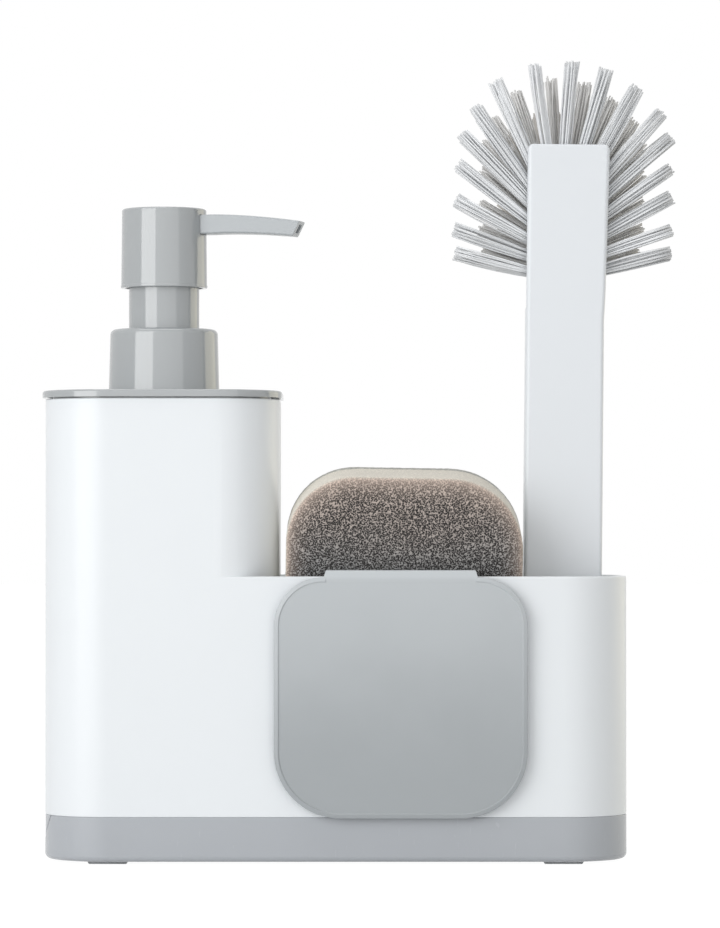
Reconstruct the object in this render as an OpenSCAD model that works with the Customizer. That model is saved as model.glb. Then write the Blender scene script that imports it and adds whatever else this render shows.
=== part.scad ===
// Sink caddy with a soap tank, its pump, a hook-on front plate, a sponge and a washing-up brush.
// Units are millimetres. X runs along the caddy, Y from front to back, Z up from the table.

/* [Tank and shell] */
// Length of the soap tank
tank_l = 85.6; // [80:0.2:96]
// Depth of the caddy
body_d = 76; // [72:1:88]
// Plan radius of the caddy's corners
corner_r = 24; // [18:0.5:28]
// Wall of the moulded shell
wall_t = 2.5; // [1.8:0.1:3]
// Height of the seam between tray and shell above the table
seam_z = 17.4; // [14:0.2:22]
// Height of the trough's rim above the seam
trough_h = 87.1; // [80:0.1:95]
// Height of the tank's rim above the trough's rim
tank_rise = 64.7; // [58:0.5:72]
// Depth of the skirt under the shell's floor
skirt_h = 2.8; // [2:0.1:4]
// Space between the right end wall and the brush handle
end_gap = 5.9; // [4:0.1:12]

/* [Trough floor] */
// Height of the ribs that hold the sponge off the floor
rib_h = 9; // [6:0.5:12]
// Thickness of those ribs
rib_t = 2; // [1.4:0.1:3]
// Number of ribs under the sponge
rib_count = 4; // [3:1:5]
// Diameter of a drain hole
drain_d = 5; // [3:0.5:6]
// Drain holes along the trough
drain_cols = 7; // [4:1:8]
// Drain holes across the trough
drain_rows = 3; // [2:1:4]

/* [Base tray] */
// Rounding of the tray's lower edge
tray_edge_r = 2.5; // [1.5:0.1:3]
// Thickness of the tray's floor
tray_floor_t = 2; // [1.5:0.1:3]
// Height of the spigot that locates the shell
spigot_h = 2.4; // [1.5:0.1:2.6]
// Thickness of that spigot
spigot_t = 1.6; // [1.2:0.1:2.4]
// Depth of the half-moon recess for a finger, sunk into the tray's left end
recess_depth = 0.5; // [0.3:0.1:1]
// Height of that recess below the seam
recess_h = 7; // [5:0.5:9]
// Width of that recess at the seam
recess_w = 46; // [30:1:50]

/* [Feet] */
// Length of a foot along the caddy
foot_l = 15; // [10:0.5:20]
// Depth of a foot
foot_w = 10; // [8:0.5:14]
// Height that a foot stands below the tray
foot_h = 1.2; // [0.8:0.1:2]
// Depth that a foot sits in the tray
foot_seat = 0.6; // [0.3:0.1:1]
// Distance of a foot's centre from the caddy's end
foot_inset = 23.8; // [18:0.2:30]
// Distance of a foot's centre from the caddy's front or back
foot_side = 12; // [9:0.5:16]
// Slope of a foot's ends
foot_slope = 0.8; // [0.4:0.1:1.5]

/* [Tank lid] */
// Thickness of the lid
lid_t = 2.6; // [1.6:0.1:3]
// Overhang of the lid past the tank's wall
lid_over = 1.2; // [0.4:0.05:1.5]
// Rounding of the lid's upper edge
lid_edge_r = 0.9; // [0.4:0.1:1.2]
// Shadow gap between lid and tank
lid_gap = 0.5; // [0.4:0.1:1]
// Height of the plug under the lid
plug_h = 8; // [6:0.5:11]
// Thickness of the plug's wall
plug_t = 2.2; // [1.8:0.1:3]
// Height of the seal round the plug
seal_h = 2; // [1.4:0.1:3]
// Depth of the seal's groove
seal_depth = 0.9; // [0.6:0.1:1.2]

/* [Neck and collar] */
// Outer radius of the neck at the root of its thread
neck_r = 17.2; // [16.6:0.1:17.8]
// Wall of the neck
neck_t = 1.8; // [1.4:0.1:2.4]
// Height of the neck above the lid
neck_h = 17.1; // [16:0.1:20]
// Height of a thread ridge
thread_h = 1.1; // [0.8:0.05:1.2]
// Rise of the thread in one turn
thread_pitch = 4; // [3.6:0.1:4.6]
// Width of a thread ridge at its root
thread_root = 2; // [1.6:0.1:2.2]
// Width of a thread ridge at its crest
thread_crest = 1; // [0.6:0.1:1.2]
// Turns of thread on the neck and in the collar
thread_turns = 1.25; // [1:0.05:1.5]
// Wall of the collar
collar_t = 1.9; // [1.4:0.1:2.4]
// Thickness of the collar's top
collar_top_t = 2.2; // [1.6:0.1:3]
// Rounding of the collar's top edge
collar_edge_r = 2; // [1:0.1:2.4]
// Draft of the collar, less radius at the top than at the bottom
collar_draft = 0.55; // [0:0.05:0.8]
// Gap between the collar's lower edge and the lid
collar_gap = 0.3; // [0.3:0.1:1]

/* [Pump] */
// Press travel of the pump
press_travel = 14.5; // [10:0.5:16]
// Thickness of the gasket on the neck
gasket_t = 1; // [0.8:0.1:1.5]
// Thickness of the flanges clamped by the collar
flange_t = 1.5; // [1.2:0.1:2]
// Outer radius of the visible guide sleeve
sleeve_r = 13.05; // [12.4:0.05:13.6]
// Wall of the guide sleeve
sleeve_t = 1.75; // [1.4:0.05:2.2]
// Thickness of the guide sleeve's floor
sleeve_floor_t = 2.5; // [2:0.1:3]
// Inner radius of the pump barrel
barrel_r = 5.5; // [5.3:0.1:6.5]
// Wall of the pump barrel
barrel_t = 1.4; // [1.1:0.1:1.8]
// Length of the barrel below its flange
barrel_l = 62; // [58:1:68]
// Length of the valve chamber below the barrel
chamber_l = 12; // [11:0.5:15]
// Outer radius of the dip tube
dip_r = 3.2; // [2.8:0.1:3.4]
// Wall of the dip tube
dip_t = 0.9; // [0.6:0.1:1.1]
// Length of the dip tube inside its socket
dip_lap = 6; // [5:0.5:8]
// Gap between the dip tube's end and the tank's floor
dip_gap = 4; // [2:0.5:8]
// Radius of the check ball
ball_r = 2.3; // [2:0.1:2.5]
// Outer radius of the stem
stem_r = 4; // [3.6:0.1:4.2]
// Wall of the stem
stem_t = 1.6; // [1.2:0.1:1.8]
// Length of the piston
piston_l = 8; // [6:0.5:10]
// Distance of the piston's top below the housing's flange at rest
piston_drop = 8; // [4:0.5:10]
// Thickness of the plug's flange under the piston
seat_t = 2; // [1.5:0.1:3]
// Length of the plug inside the stem
seat_plug_l = 4; // [3:0.5:6]
// Thickness of the spring's wire
wire_d = 1; // [0.8:0.1:1.2]
// Turns of the spring
spring_turns = 8; // [6:1:10]

/* [Head and spout] */
// Outer radius of the head at its lower edge
head_r = 16.05; // [15.8:0.05:17]
// Draft of the head, less radius at the top than at the bottom
head_draft = 0.4; // [0:0.05:0.6]
// Height of the head
head_h = 29.3; // [28:0.1:34]
// Wall of the head's skirt
head_t = 1.7; // [1.4:0.1:2]
// Thickness of the head's top
head_top_t = 2.2; // [1.8:0.1:3]
// Rounding of the head's top edge
head_edge_r = 1.2; // [0.6:0.1:1.6]
// Gap between head and collar when the pump is pressed
head_gap = 0.8; // [0.5:0.1:1.5]
// Radius of the boss that holds the stem
boss_r = 6; // [5.6:0.1:7]
// Reach of the spout from the pump's axis
spout_reach = 52.6; // [40:0.2:60]
// Width of the spout
spout_w = 9; // [8:0.5:10]
// Height of the spout at the head
spout_root_h = 7; // [6:0.1:8]
// Height of the spout at its tip
spout_tip_h = 5.2; // [4.5:0.1:6]
// Drop of the spout's top from head to tip
spout_drop = 2.5; // [1:0.1:4]
// Depth of the spout's top below the head's top
spout_set = 1.9; // [1.5:0.1:3]
// Width of the spout's channel
channel_w = 4; // [3:0.5:5]
// Height of the spout's channel
channel_h = 3; // [2.4:0.1:3.4]
// Turn of the spout towards the front in degrees
spout_yaw = 13; // [-30:1:90]

/* [Front plate] */
// Width of the plate
plate_w = 91.6; // [80:0.2:100]
// Thickness of the plate
plate_t = 2; // [1.6:0.1:3]
// Radius of the plate's upper corners
plate_top_r = 17.6; // [12:0.2:20]
// Radius of the plate's lower corners
plate_low_r = 24; // [16:0.5:28]
// Width of the raised lip round the plate
lip_w = 1.9; // [1.2:0.1:3]
// Height of that lip
lip_h = 0.4; // [0.2:0.05:0.8]
// Distance of the plate from the caddy's wall
plate_off = 3.5; // [2:0.1:5]
// Sideways set of the plate from the sponge's middle
plate_set = -1.3; // [-4:0.1:4]
// Width of the hook
hook_w = 55; // [40:1:58]
// Thickness of the hook over the rim
hook_t = 2.3; // [1.5:0.1:2.5]
// Thickness of the hook's leg inside the wall
hook_leg_t = 1.5; // [1.2:0.1:2]
// Length of the hook's leg below the rim
hook_leg_l = 5; // [4:0.5:8]
// Height that the plate is raised past its hook's leg to come off
unhook_gap = 3; // [1:0.5:5]
// Width of a rest that keeps the plate off the wall
rest_w = 3; // [2:0.5:5]
// Length of that rest
rest_l = 14; // [8:1:20]

/* [Sponge] */
// Width of the sponge
sponge_w = 86.7; // [75:0.5:92]
// Length of the sponge
sponge_l = 109.6; // [95:0.2:118]
// Thickness of the sponge's foam
foam_t = 22; // [16:0.5:22]
// Thickness of the scouring layer on its back
scourer_t = 5; // [3:0.5:6]
// Radius of the sponge's corners
sponge_r = 23; // [14:0.5:26]
// Forward lean of the sponge in degrees
sponge_lean = 8.9; // [0:0.1:9]
// Sideways lean of the sponge in degrees
sponge_roll = 1; // [0:0.1:1.2]
// Gap between the sponge and the tank
sponge_gap = 2.5; // [1.6:0.1:4]

/* [Brush] */
// Width of the brush's grip
grip_w = 29; // [24:0.2:32]
// Thickness of the grip
grip_t = 14; // [10:0.5:16]
// Length of the grip up to the head
grip_l = 180.2; // [160:0.2:200]
// Width of the head's face
face_w = 30.2; // [28:0.2:34]
// Length of the head's face
face_l = 60.5; // [56:0.5:66]
// Thickness of the head's face
face_t = 5; // [4:0.5:6]
// Rounding of the corners of the head's face
handle_edge_r = 2.2; // [1:0.1:3]
// Rounding of the grip's long edges
grip_edge_r = 1.6; // [0.8:0.1:3]
// Lean of the brush in degrees
brush_lean = 0.6; // [0:0.1:1.2]
// Distance of the handle's front from the middle of the caddy
brush_front = 9; // [4:0.5:12]
// Gap between the sponge and the brush at the rim
brush_gap = 1; // [0.8:0.1:4]
// Sideways set of the tufts from the handle's middle
fan_set = -1.4; // [-3:0.1:3]

/* [Bristles] */
// Half the width of the trimmed fan
fan_r = 39.5; // [34:0.5:44]
// Height of the fan's trimming centre above the head's face, as a drop
fan_drop = 7.2; // [6:0.2:14]
// Half the width of the tuft block
block_r = 11; // [10:0.5:12]
// Radius of the path on which the tufts are rooted
root_r = 8; // [7:0.5:8.5]
// Depth of the top tuft's root below the face's top
root_drop = 12.4; // [10:0.2:14]
// Spacing of the tufts down each side
tuft_pitch = 5.5; // [4.6:0.1:5.8]
// Thickness of the slice that carries a row of tufts
slice_t = 5; // [4:0.5:6]
// Tufts on each side of the middle one
tuft_side = 8; // [6:1:8]
// Strands in a tuft of the front row
strand_count = 9; // [7:1:9]
// Radius of a strand
strand_r = 0.4; // [0.25:0.05:0.45]
// Radius of a tuft at its root
tuft_root_r = 1.1; // [0.8:0.1:1.3]
// Radius of a tuft at its tip
tuft_tip_r = 2.7; // [1.6:0.1:3]

/* [Clearances] */
// Clearance of parts that slide past each other by hand
fit_gap = 0.3; // [0.2:0.05:0.5]
// Running clearance inside the pump
run_gap = 0.05; // [0.03:0.01:0.1]
// Clearance of soft pieces to what is near them
soft_gap = 0.4; // [0.3:0.1:0.6]
// Overrun of a cut past the face that it opens
over = 1; // [0.5:0.1:2]

/* [Hidden] */
$fn = 64;

grey = [0.66, 0.68, 0.69];
white = [0.93, 0.94, 0.95];
clear_plastic = [0.85, 0.88, 0.9];
rubber = [0.35, 0.36, 0.37];
silver = [0.77, 0.79, 0.8];

// The caddy is as long as what stands in it needs
body_l = tank_l + sponge_gap + sponge_w + brush_gap + grip_w + end_gap + wall_t;
rim_z = seam_z + trough_h;
tank_z = rim_z + tank_rise;
floor_z = seam_z + skirt_h + wall_t;
tray_z = foot_h;
in_d = body_d - 2 * wall_t;
in_r = corner_r - wall_t;
tank_x = (tank_l - body_l) / 2;
tank_right = tank_l - body_l / 2;

thread_start = 20;
lid_z = tank_z + lid_gap;
lid_top = lid_z + lid_t;
neck_top = lid_top + neck_h;
housing_z = neck_top + gasket_t;
sleeve_z = housing_z + flange_t;
collar_under = sleeve_z + flange_t;
collar_top = collar_under + collar_top_t;
flange_r = neck_r - fit_gap;
collar_in_r = neck_r + thread_h + fit_gap;
collar_r = collar_in_r + collar_t;
thread_z = lid_top + (neck_h - thread_turns * thread_pitch) / 2;

head_z = collar_top + head_gap + press_travel;
head_top = head_z + head_h;
stem_top = head_top - spout_set - spout_root_h;
// The spout's root comes down to just above the guide sleeve when the pump is pressed
sleeve_top = stem_top - press_travel - head_gap;
piston_z = housing_z - piston_drop - piston_l;
barrel_z = housing_z - barrel_l;
chamber_z = barrel_z - chamber_l;
chamber_in_r = ball_r + 4 * run_gap;
chamber_r = dip_r + barrel_t;
ball_seat_z = chamber_z + dip_lap;
boss_z = sleeve_z + sleeve_floor_t + press_travel + head_gap;
spring_z = barrel_z + barrel_t;
spring_top = piston_z - seat_t;
spring_r = barrel_r - wire_d;
spout_top = head_top - spout_set;
channel_top = spout_top - (spout_root_h - channel_h) / 2;

sponge_t = foam_t + scourer_t;
sponge_z = floor_z + rib_h + soft_gap;
sponge_x = tank_right + sponge_gap + sponge_w / 2;
hook_top = rim_z + hook_t;
hook_in = -in_d / 2 + fit_gap / 2 + hook_leg_t;
plate_lift = hook_leg_l + unhook_gap;
// The sponge's front face stays behind the hook while the plate is lifted off
sponge_rim_y = hook_in + soft_gap + plate_lift * tan(sponge_lean);
sponge_y = sponge_rim_y + (hook_top - sponge_z) * tan(sponge_lean);

plate_x = sponge_x + plate_set;
plate_z = seam_z - fit_gap / 2;
plate_h = rim_z - fit_gap - plate_z;
plate_back = -body_d / 2 - plate_off;
plate_front = plate_back - plate_t;

brush_z = floor_z + soft_gap;
brush_rim_x = sponge_x + sponge_w / 2 + brush_gap + grip_w / 2;
brush_x = brush_rim_x - (rim_z - brush_z) * tan(brush_lean);
brush_l = grip_l + face_l;
brush_y = -brush_front;
fan_z = brush_l - fan_drop;
arc_z = brush_l - root_drop - root_r;

// Leans of the rows of tufts, and how far each reaches as a share of the front row
arc_tufts = 3;
tuft_angle_max = 75;
tuft_power = 0.72;
middle_tilt = 18;
middle_share = 0.8;
back_tilt = 38;
back_share = 0.7;
strand_trim_share = 0.06;
least_sine = 0.001;

// The whole model is shifted so that its origin is the middle of its footprint
reach_left = tank_x - tank_l / 2 - lid_over;
reach_right = brush_x + (brush_z + brush_l) * sin(brush_lean) + fan_set + fan_r;
reach_front = plate_front - lip_h;
reach_back = body_d / 2 + lid_over;
origin_x = (reach_left + reach_right) / 2;
origin_y = (reach_front + reach_back) / 2;

module in_frame() {
    translate([-origin_x, -origin_y, 0]) children();
}

module at_pump() {
    translate([tank_x - origin_x, -origin_y, 0]) children();
}

module at_brush() {
    in_frame() translate([brush_x, brush_y, brush_z]) rotate([0, brush_lean, 0]) children();
}

// A rectangle with round corners, centred on its origin
module round_rect(l, d, r) {
    square([l - 2 * r, d], center = true);
    square([l, d - 2 * r], center = true);
    for (sx = [-1, 1], sy = [-1, 1])
        translate([sx * (l / 2 - r), sy * (d / 2 - r)]) circle(r);
}

module slab(l, d, r, h) {
    linear_extrude(height = h) round_rect(l, d, r);
}

module ring(l, d, r, t, h) {
    linear_extrude(height = h) difference() {
        round_rect(l, d, r);
        round_rect(l - 2 * t, d - 2 * t, r - t);
    }
}

function arc_points(cx, cy, r, from, to, steps = 6) =
    [for (i = [0:steps]) let (a = from + (to - from) * i / steps) [cx + r * cos(a), cy + r * sin(a)]];

// The outer part of a slab whose lower or upper edge is rounded, as a profile from the
// corner's centre outwards
function edge_profile(r, h, low, high) = concat(
    [[0, 0]],
    low > 0 ? arc_points(r - low, low, low, -90, 0) : [[r, 0]],
    high > 0 ? arc_points(r - high, h - high, high, 0, 90) : [[r, h]],
    [[0, h]]);

function mirrored(points) = concat(points, [for (i = [len(points) - 1:-1:0]) [-points[i][0], points[i][1]]]);

// A slab with round corners in plan and round edges below or above
module soft_slab(l, d, r, h, low, high) {
    side = edge_profile(r, h, low, high);
    for (sx = [-1, 1], sy = [-1, 1])
        translate([sx * (l / 2 - r), sy * (d / 2 - r), 0]) rotate_extrude() polygon(side);
    rotate([90, 0, 90]) translate([0, 0, r - l / 2]) linear_extrude(height = l - 2 * r)
        polygon(mirrored([for (p = side) p[0] > 0 ? [p[0] + d / 2 - r, p[1]] : p]));
    rotate([90, 0, 0]) translate([0, 0, r - d / 2]) linear_extrude(height = d - 2 * r)
        polygon(mirrored([for (p = side) p[0] > 0 ? [p[0] + l / 2 - r, p[1]] : p]));
}

module tube(outer, inner, z0, z1) {
    translate([0, 0, z0]) difference() {
        cylinder(r = outer, h = z1 - z0);
        translate([0, 0, -over]) cylinder(r = inner, h = z1 - z0 + 2 * over);
    }
}

// A swept ridge that climbs round the axis: section is a list of [radius, height] points
module helix_ridge(section, pitch, turns, steps = 24) {
    n = len(section);
    rings = ceil(turns * steps);
    points = [for (i = [0:rings]) let (a = 360 * turns * i / rings, z = pitch * turns * i / rings)
        for (p = section) [p[0] * cos(a), p[0] * sin(a), p[1] + z]];
    sides = [for (i = [0:rings - 1], j = [0:n - 1]) let (k = (j + 1) % n, a = i * n, b = a + n)
        each [[a + j, a + k, b + j], [a + k, b + k, b + j]]];
    ends = [for (j = [1:n - 2]) each [[0, j + 1, j], [rings * n, rings * n + j, rings * n + j + 1]]];
    polyhedron(points = points, faces = concat(sides, ends), convexity = 6);
}

// Base tray and feet

module foot_places() {
    for (sx = [-1, 1], sy = [-1, 1])
        translate([sx * (body_l / 2 - foot_inset), sy * (body_d / 2 - foot_side), 0]) children();
}

module base_tray() {
    tray_h = seam_z - tray_z;
    color(grey) in_frame() difference() {
        union() {
            translate([0, 0, tray_z]) soft_slab(body_l, body_d, corner_r, tray_h, tray_edge_r, 0);
            inset = wall_t + fit_gap;
            translate([0, 0, seam_z - over])
                slab(body_l - 2 * inset, body_d - 2 * inset, corner_r - inset, spigot_h + over);
        }
        inside = wall_t + fit_gap + spigot_t;
        translate([0, 0, tray_z + tray_floor_t])
            slab(body_l - 2 * inside, body_d - 2 * inside, corner_r - inside, seam_z + spigot_h);
        foot_places() translate([0, 0, tray_z])
            cube([foot_l, foot_w, 2 * foot_seat], center = true);
        finger_recess();
    }
}

// The part of the tray's outer skin that lies inside a circle with its chord on the seam
module finger_recess() {
    moon_r = (recess_h * recess_h + recess_w * recess_w / 4) / (2 * recess_h);
    intersection() {
        translate([0, 0, tray_z]) ring(body_l + 2 * over, body_d + 2 * over, corner_r + over,
            recess_depth + over, seam_z - tray_z + over);
        translate([-body_l / 2 - over, 0, seam_z - recess_h + moon_r]) rotate([0, 90, 0])
            cylinder(r = moon_r, h = corner_r);
    }
}

module feet() {
    half = foot_l / 2;
    low = half - foot_slope;
    color(rubber) in_frame() foot_places() rotate([90, 0, 0])
        linear_extrude(height = foot_w, center = true)
            polygon([[-low, 0], [low, 0], [half, foot_h], [half, foot_h + foot_seat],
                [-half, foot_h + foot_seat], [-half, foot_h]]);
}

// Shell with the tank and the trough in one moulding

module body_shell() {
    rib_step = sponge_w / (rib_count + 1);
    drain_from = tank_right + drain_d * 2;
    drain_step = (body_l / 2 - wall_t - drain_d * 2 - drain_from) / (drain_cols - 1);
    drain_row = (in_d - 2 * in_r + drain_d * 2) / (drain_rows - 1);
    color(white) in_frame() difference() {
        union() {
            translate([0, 0, seam_z]) slab(body_l, body_d, corner_r, trough_h);
            translate([tank_x, 0, seam_z]) slab(tank_l, body_d, corner_r, tank_z - seam_z);
        }
        translate([tank_x, 0, floor_z])
            slab(tank_l - 2 * wall_t, in_d, in_r, tank_z - floor_z + over);
        difference() {
            translate([0, 0, floor_z]) slab(body_l - 2 * wall_t, in_d, in_r, trough_h);
            translate([tank_x, 0, 0]) slab(tank_l, body_d, corner_r, tank_z);
            for (i = [1:rib_count])
                translate([sponge_x - sponge_w / 2 + i * rib_step, 0, floor_z])
                    cube([rib_t, body_d, 2 * rib_h], center = true);
        }
        translate([0, 0, seam_z - over])
            slab(body_l - 2 * wall_t, in_d, in_r, skirt_h + over);
        for (i = [0:drain_cols - 1], j = [0:drain_rows - 1])
            translate([drain_from + i * drain_step, (j - (drain_rows - 1) / 2) * drain_row, seam_z])
                cylinder(d = drain_d, h = skirt_h + wall_t + over);
    }
}

// Lid of the tank, its threaded neck and its seal

module plug_ring(out, t, h) {
    ring(tank_l - 2 * wall_t - 2 * out, in_d - 2 * out, in_r - out, t, h);
}

module tank_lid() {
    color(grey) at_pump() {
        difference() {
            translate([0, 0, lid_z]) soft_slab(tank_l + 2 * lid_over, body_d + 2 * lid_over,
                corner_r + lid_over, lid_t, 0, lid_edge_r);
            translate([0, 0, lid_z - over]) cylinder(r = neck_r - neck_t, h = lid_t + 2 * over);
        }
        difference() {
            translate([0, 0, lid_z - plug_h]) plug_ring(fit_gap, plug_t, plug_h);
            // Groove that holds the seal
            translate([0, 0, lid_z - plug_h / 2 - seal_h / 2])
                plug_ring(-over, over + fit_gap + seal_depth, seal_h);
        }
        tube(neck_r, neck_r - neck_t, lid_top - lid_t / 2, neck_top);
        rotate([0, 0, thread_start]) translate([0, 0, thread_z])
            helix_ridge(thread_section(neck_r, 1), thread_pitch, thread_turns);
    }
}

// A thread ridge's section, standing outwards (1) or inwards (-1) from the wall at radius r
function thread_section(r, way) = let (p = [[r - way * thread_h / 4, -thread_root / 2],
    [r + way * thread_h, -thread_crest / 2], [r + way * thread_h, thread_crest / 2],
    [r - way * thread_h / 4, thread_root / 2]]) way > 0 ? p : [p[3], p[2], p[1], p[0]];

module lid_seal() {
    color(rubber) at_pump() translate([0, 0, lid_z - plug_h / 2 - seal_h / 2])
        plug_ring(run_gap, fit_gap - run_gap + seal_depth, seal_h);
}

// Pump

module pump_gasket() {
    color(rubber) at_pump() tube(flange_r, neck_r - neck_t, neck_top, housing_z);
}

module pump_housing() {
    color(clear_plastic) at_pump() difference() {
        union() {
            translate([0, 0, housing_z]) cylinder(r = flange_r, h = flange_t);
            translate([0, 0, barrel_z]) cylinder(r = barrel_r + barrel_t, h = barrel_l + flange_t);
            translate([0, 0, chamber_z]) cylinder(r = chamber_r, h = chamber_l + barrel_t);
        }
        translate([0, 0, spring_z]) cylinder(r = barrel_r, h = barrel_l + flange_t);
        translate([0, 0, ball_seat_z + ball_r]) cylinder(r = chamber_in_r, h = chamber_l);
        translate([0, 0, ball_seat_z]) cylinder(r1 = ball_r / 2, r2 = chamber_in_r, h = ball_r);
        translate([0, 0, chamber_z]) cylinder(r = ball_r / 2, h = chamber_l);
        translate([0, 0, chamber_z - over]) cylinder(r = dip_r, h = dip_lap - barrel_t + over);
    }
}

module check_ball() {
    // Height at which the ball lies on its conical seat
    half = atan((chamber_in_r - ball_r / 2) / ball_r);
    rise = (ball_r / sin(half)) - (ball_r / 2) / tan(half);
    color(silver) at_pump() translate([0, 0, ball_seat_z + rise + run_gap]) sphere(r = ball_r);
}

module dip_tube() {
    color(clear_plastic) at_pump()
        tube(dip_r, dip_r - dip_t, floor_z + dip_gap, chamber_z + dip_lap - barrel_t);
}

module guide_sleeve() {
    color(grey) at_pump() {
        tube(sleeve_r, sleeve_r - sleeve_t, sleeve_z, sleeve_top);
        tube(flange_r, sleeve_r - sleeve_t, sleeve_z, sleeve_z + flange_t);
        tube(sleeve_r - sleeve_t / 2, stem_r + 2 * run_gap, sleeve_z, sleeve_z + sleeve_floor_t);
    }
}

module pump_collar() {
    top_r = collar_r - collar_draft;
    color(grey) at_pump() {
        rotate_extrude() polygon(concat(
            [[collar_in_r, lid_top + collar_gap], [collar_r, lid_top + collar_gap]],
            arc_points(top_r - collar_edge_r, collar_top - collar_edge_r, collar_edge_r, 0, 90),
            [[sleeve_r + fit_gap, collar_top], [sleeve_r + fit_gap, collar_under],
                [collar_in_r, collar_under]]));
        rotate([0, 0, thread_start]) translate([0, 0, thread_z - thread_pitch / 2])
            helix_ridge(thread_section(collar_in_r, -1), thread_pitch, thread_turns);
    }
}

module pump_stem() {
    color(clear_plastic) at_pump() difference() {
        tube(stem_r, stem_r - stem_t, piston_z, stem_top);
        // Ports through which the liquid enters the stem
        translate([0, 0, piston_z + seat_plug_l + stem_t]) rotate([90, 0, 0])
            cylinder(r = stem_t / 2, h = 2 * barrel_r, center = true);
    }
}

module pump_piston() {
    r = barrel_r - run_gap;
    color(rubber) at_pump() difference() {
        translate([0, 0, piston_z + run_gap]) cylinder(r = r, h = piston_l);
        translate([0, 0, piston_z]) cylinder(r = stem_r + run_gap, h = piston_l + over);
        // Waist between the piston's two sealing lips
        translate([0, 0, piston_z + piston_l / 4]) difference() {
            cylinder(r = r + over, h = piston_l / 2);
            cylinder(r = (r + stem_r) / 2, h = piston_l / 2);
        }
    }
}

module stem_plug() {
    color(clear_plastic) at_pump() translate([0, 0, piston_z - seat_t]) {
        cylinder(r = (barrel_r + stem_r) / 2, h = seat_t);
        cylinder(r = stem_r - stem_t, h = seat_t + seat_plug_l);
    }
}

module return_spring() {
    // The coil's wire is swept as one tube of six sides with eight rings to a turn
    wire = [for (i = [0:5]) [spring_r + wire_d / 2 * cos(60 * i), wire_d / 2 * sin(60 * i)]];
    rise = spring_top - spring_z - wire_d;
    echo(spring_gap = rise / spring_turns - wire_d);
    color(silver) at_pump() translate([0, 0, spring_z + wire_d / 2])
        helix_ridge(wire, rise / spring_turns, spring_turns, 8);
}

// Head and spout

module spout_window() {
    translate([boss_r, -spout_w / 2, spout_top - spout_root_h])
        cube([head_r, spout_w, spout_root_h]);
}

module pump_head() {
    top_r = head_r - head_draft;
    color(grey) at_pump() rotate([0, 0, -spout_yaw]) difference() {
        union() {
            rotate_extrude() polygon(concat(
                [[head_r - head_t, head_z], [head_r, head_z]],
                arc_points(top_r - head_edge_r, head_top - head_edge_r, head_edge_r, 0, 90),
                [[0, head_top], [0, head_top - head_top_t],
                    [head_r - head_t, head_top - head_top_t]]));
            translate([0, 0, boss_z]) cylinder(r = boss_r, h = head_top - boss_z - head_top_t / 2);
        }
        translate([0, 0, boss_z - over]) cylinder(r = stem_r, h = stem_top - boss_z + over);
        spout_window();
        // Channel from the stem's bore into the spout
        translate([0, 0, boss_z]) cylinder(r = stem_r - stem_t, h = channel_top - boss_z);
        translate([0, -channel_w / 2, channel_top - channel_h]) cube([2 * boss_r, channel_w, channel_h]);
    }
}

module spout() {
    root = spout_root_h;
    tip_top = spout_top - spout_drop;
    tip_under = tip_top - spout_tip_h;
    slant = spout_tip_h / 3;
    bend_share = 0.55;
    under_share = 0.1;
    upper_share = 0.36;
    color(silver) at_pump() rotate([0, 0, -spout_yaw]) difference() {
        rotate([90, 0, 0]) linear_extrude(height = spout_w, center = true) polygon([
            [boss_r, spout_top - root], [head_r, spout_top - root],
            [spout_reach * bend_share, spout_top - root - spout_drop * under_share],
            [spout_reach - slant, tip_under], [spout_reach, tip_top],
            [spout_reach * bend_share, spout_top - spout_drop * upper_share],
            [head_r, spout_top], [boss_r, spout_top]]);
        hull() {
            translate([boss_r - over, -channel_w / 2, channel_top - channel_h])
                cube([over, channel_w, channel_h]);
            translate([spout_reach, -channel_w / 2, tip_under + (spout_tip_h - channel_h) / 2])
                cube([over, channel_w, channel_h]);
        }
    }
}

// Front plate that hooks over the trough's rim

module plate_outline(inset) {
    w = plate_w / 2 - inset;
    low = plate_low_r - inset;
    high = plate_top_r - inset;
    difference() {
        translate([-w, inset]) square([2 * w, plate_h - 2 * inset]);
        for (s = [-1, 1]) {
            translate([s * w, inset]) square(2 * low, center = true);
            translate([s * w, plate_h - inset]) square(2 * high, center = true);
        }
    }
    for (s = [-1, 1]) {
        translate([s * (w - low), inset + low]) circle(low);
        translate([s * (w - high), plate_h - inset - high]) circle(high);
    }
}

module front_plate() {
    reach = hook_in - plate_front;
    color(grey) in_frame() translate([plate_x, 0, 0]) {
        translate([0, plate_back, plate_z]) rotate([90, 0, 0]) difference() {
            linear_extrude(height = plate_t + lip_h) plate_outline(0);
            translate([0, 0, plate_t]) linear_extrude(height = over) plate_outline(lip_w);
        }
        translate([-hook_w / 2, plate_front, rim_z]) cube([hook_w, reach, hook_t]);
        translate([-hook_w / 2, plate_front, plate_z + plate_h - plate_t])
            cube([hook_w, plate_t, plate_t + hook_t / 2]);
        translate([-hook_w / 2, hook_in - hook_leg_t, rim_z - hook_leg_l])
            cube([hook_w, hook_leg_t, hook_leg_l + hook_t / 2]);
        for (s = [-1, 1])
            translate([s * hook_w / 3 - rest_w / 2, plate_back - plate_t / 2, plate_z + plate_low_r])
                cube([rest_w, plate_off + plate_t / 2 - fit_gap / 2, rest_l]);
    }
}

// Sponge

module sponge_layer(from, to) {
    foot_x = sponge_x - (rim_z - sponge_z) * tan(sponge_roll);
    in_frame() translate([foot_x, sponge_y, sponge_z]) rotate([sponge_lean, sponge_roll, 0])
        translate([0, to, sponge_l / 2]) rotate([90, 0, 0])
            slab(sponge_w, sponge_l, sponge_r, to - from);
}

module sponge_foam() {
    color([0.45, 0.42, 0.4]) sponge_layer(0, foam_t);
}

module sponge_scourer() {
    color([0.55, 0.56, 0.56]) sponge_layer(foam_t, sponge_t);
}

// Brush

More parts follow.
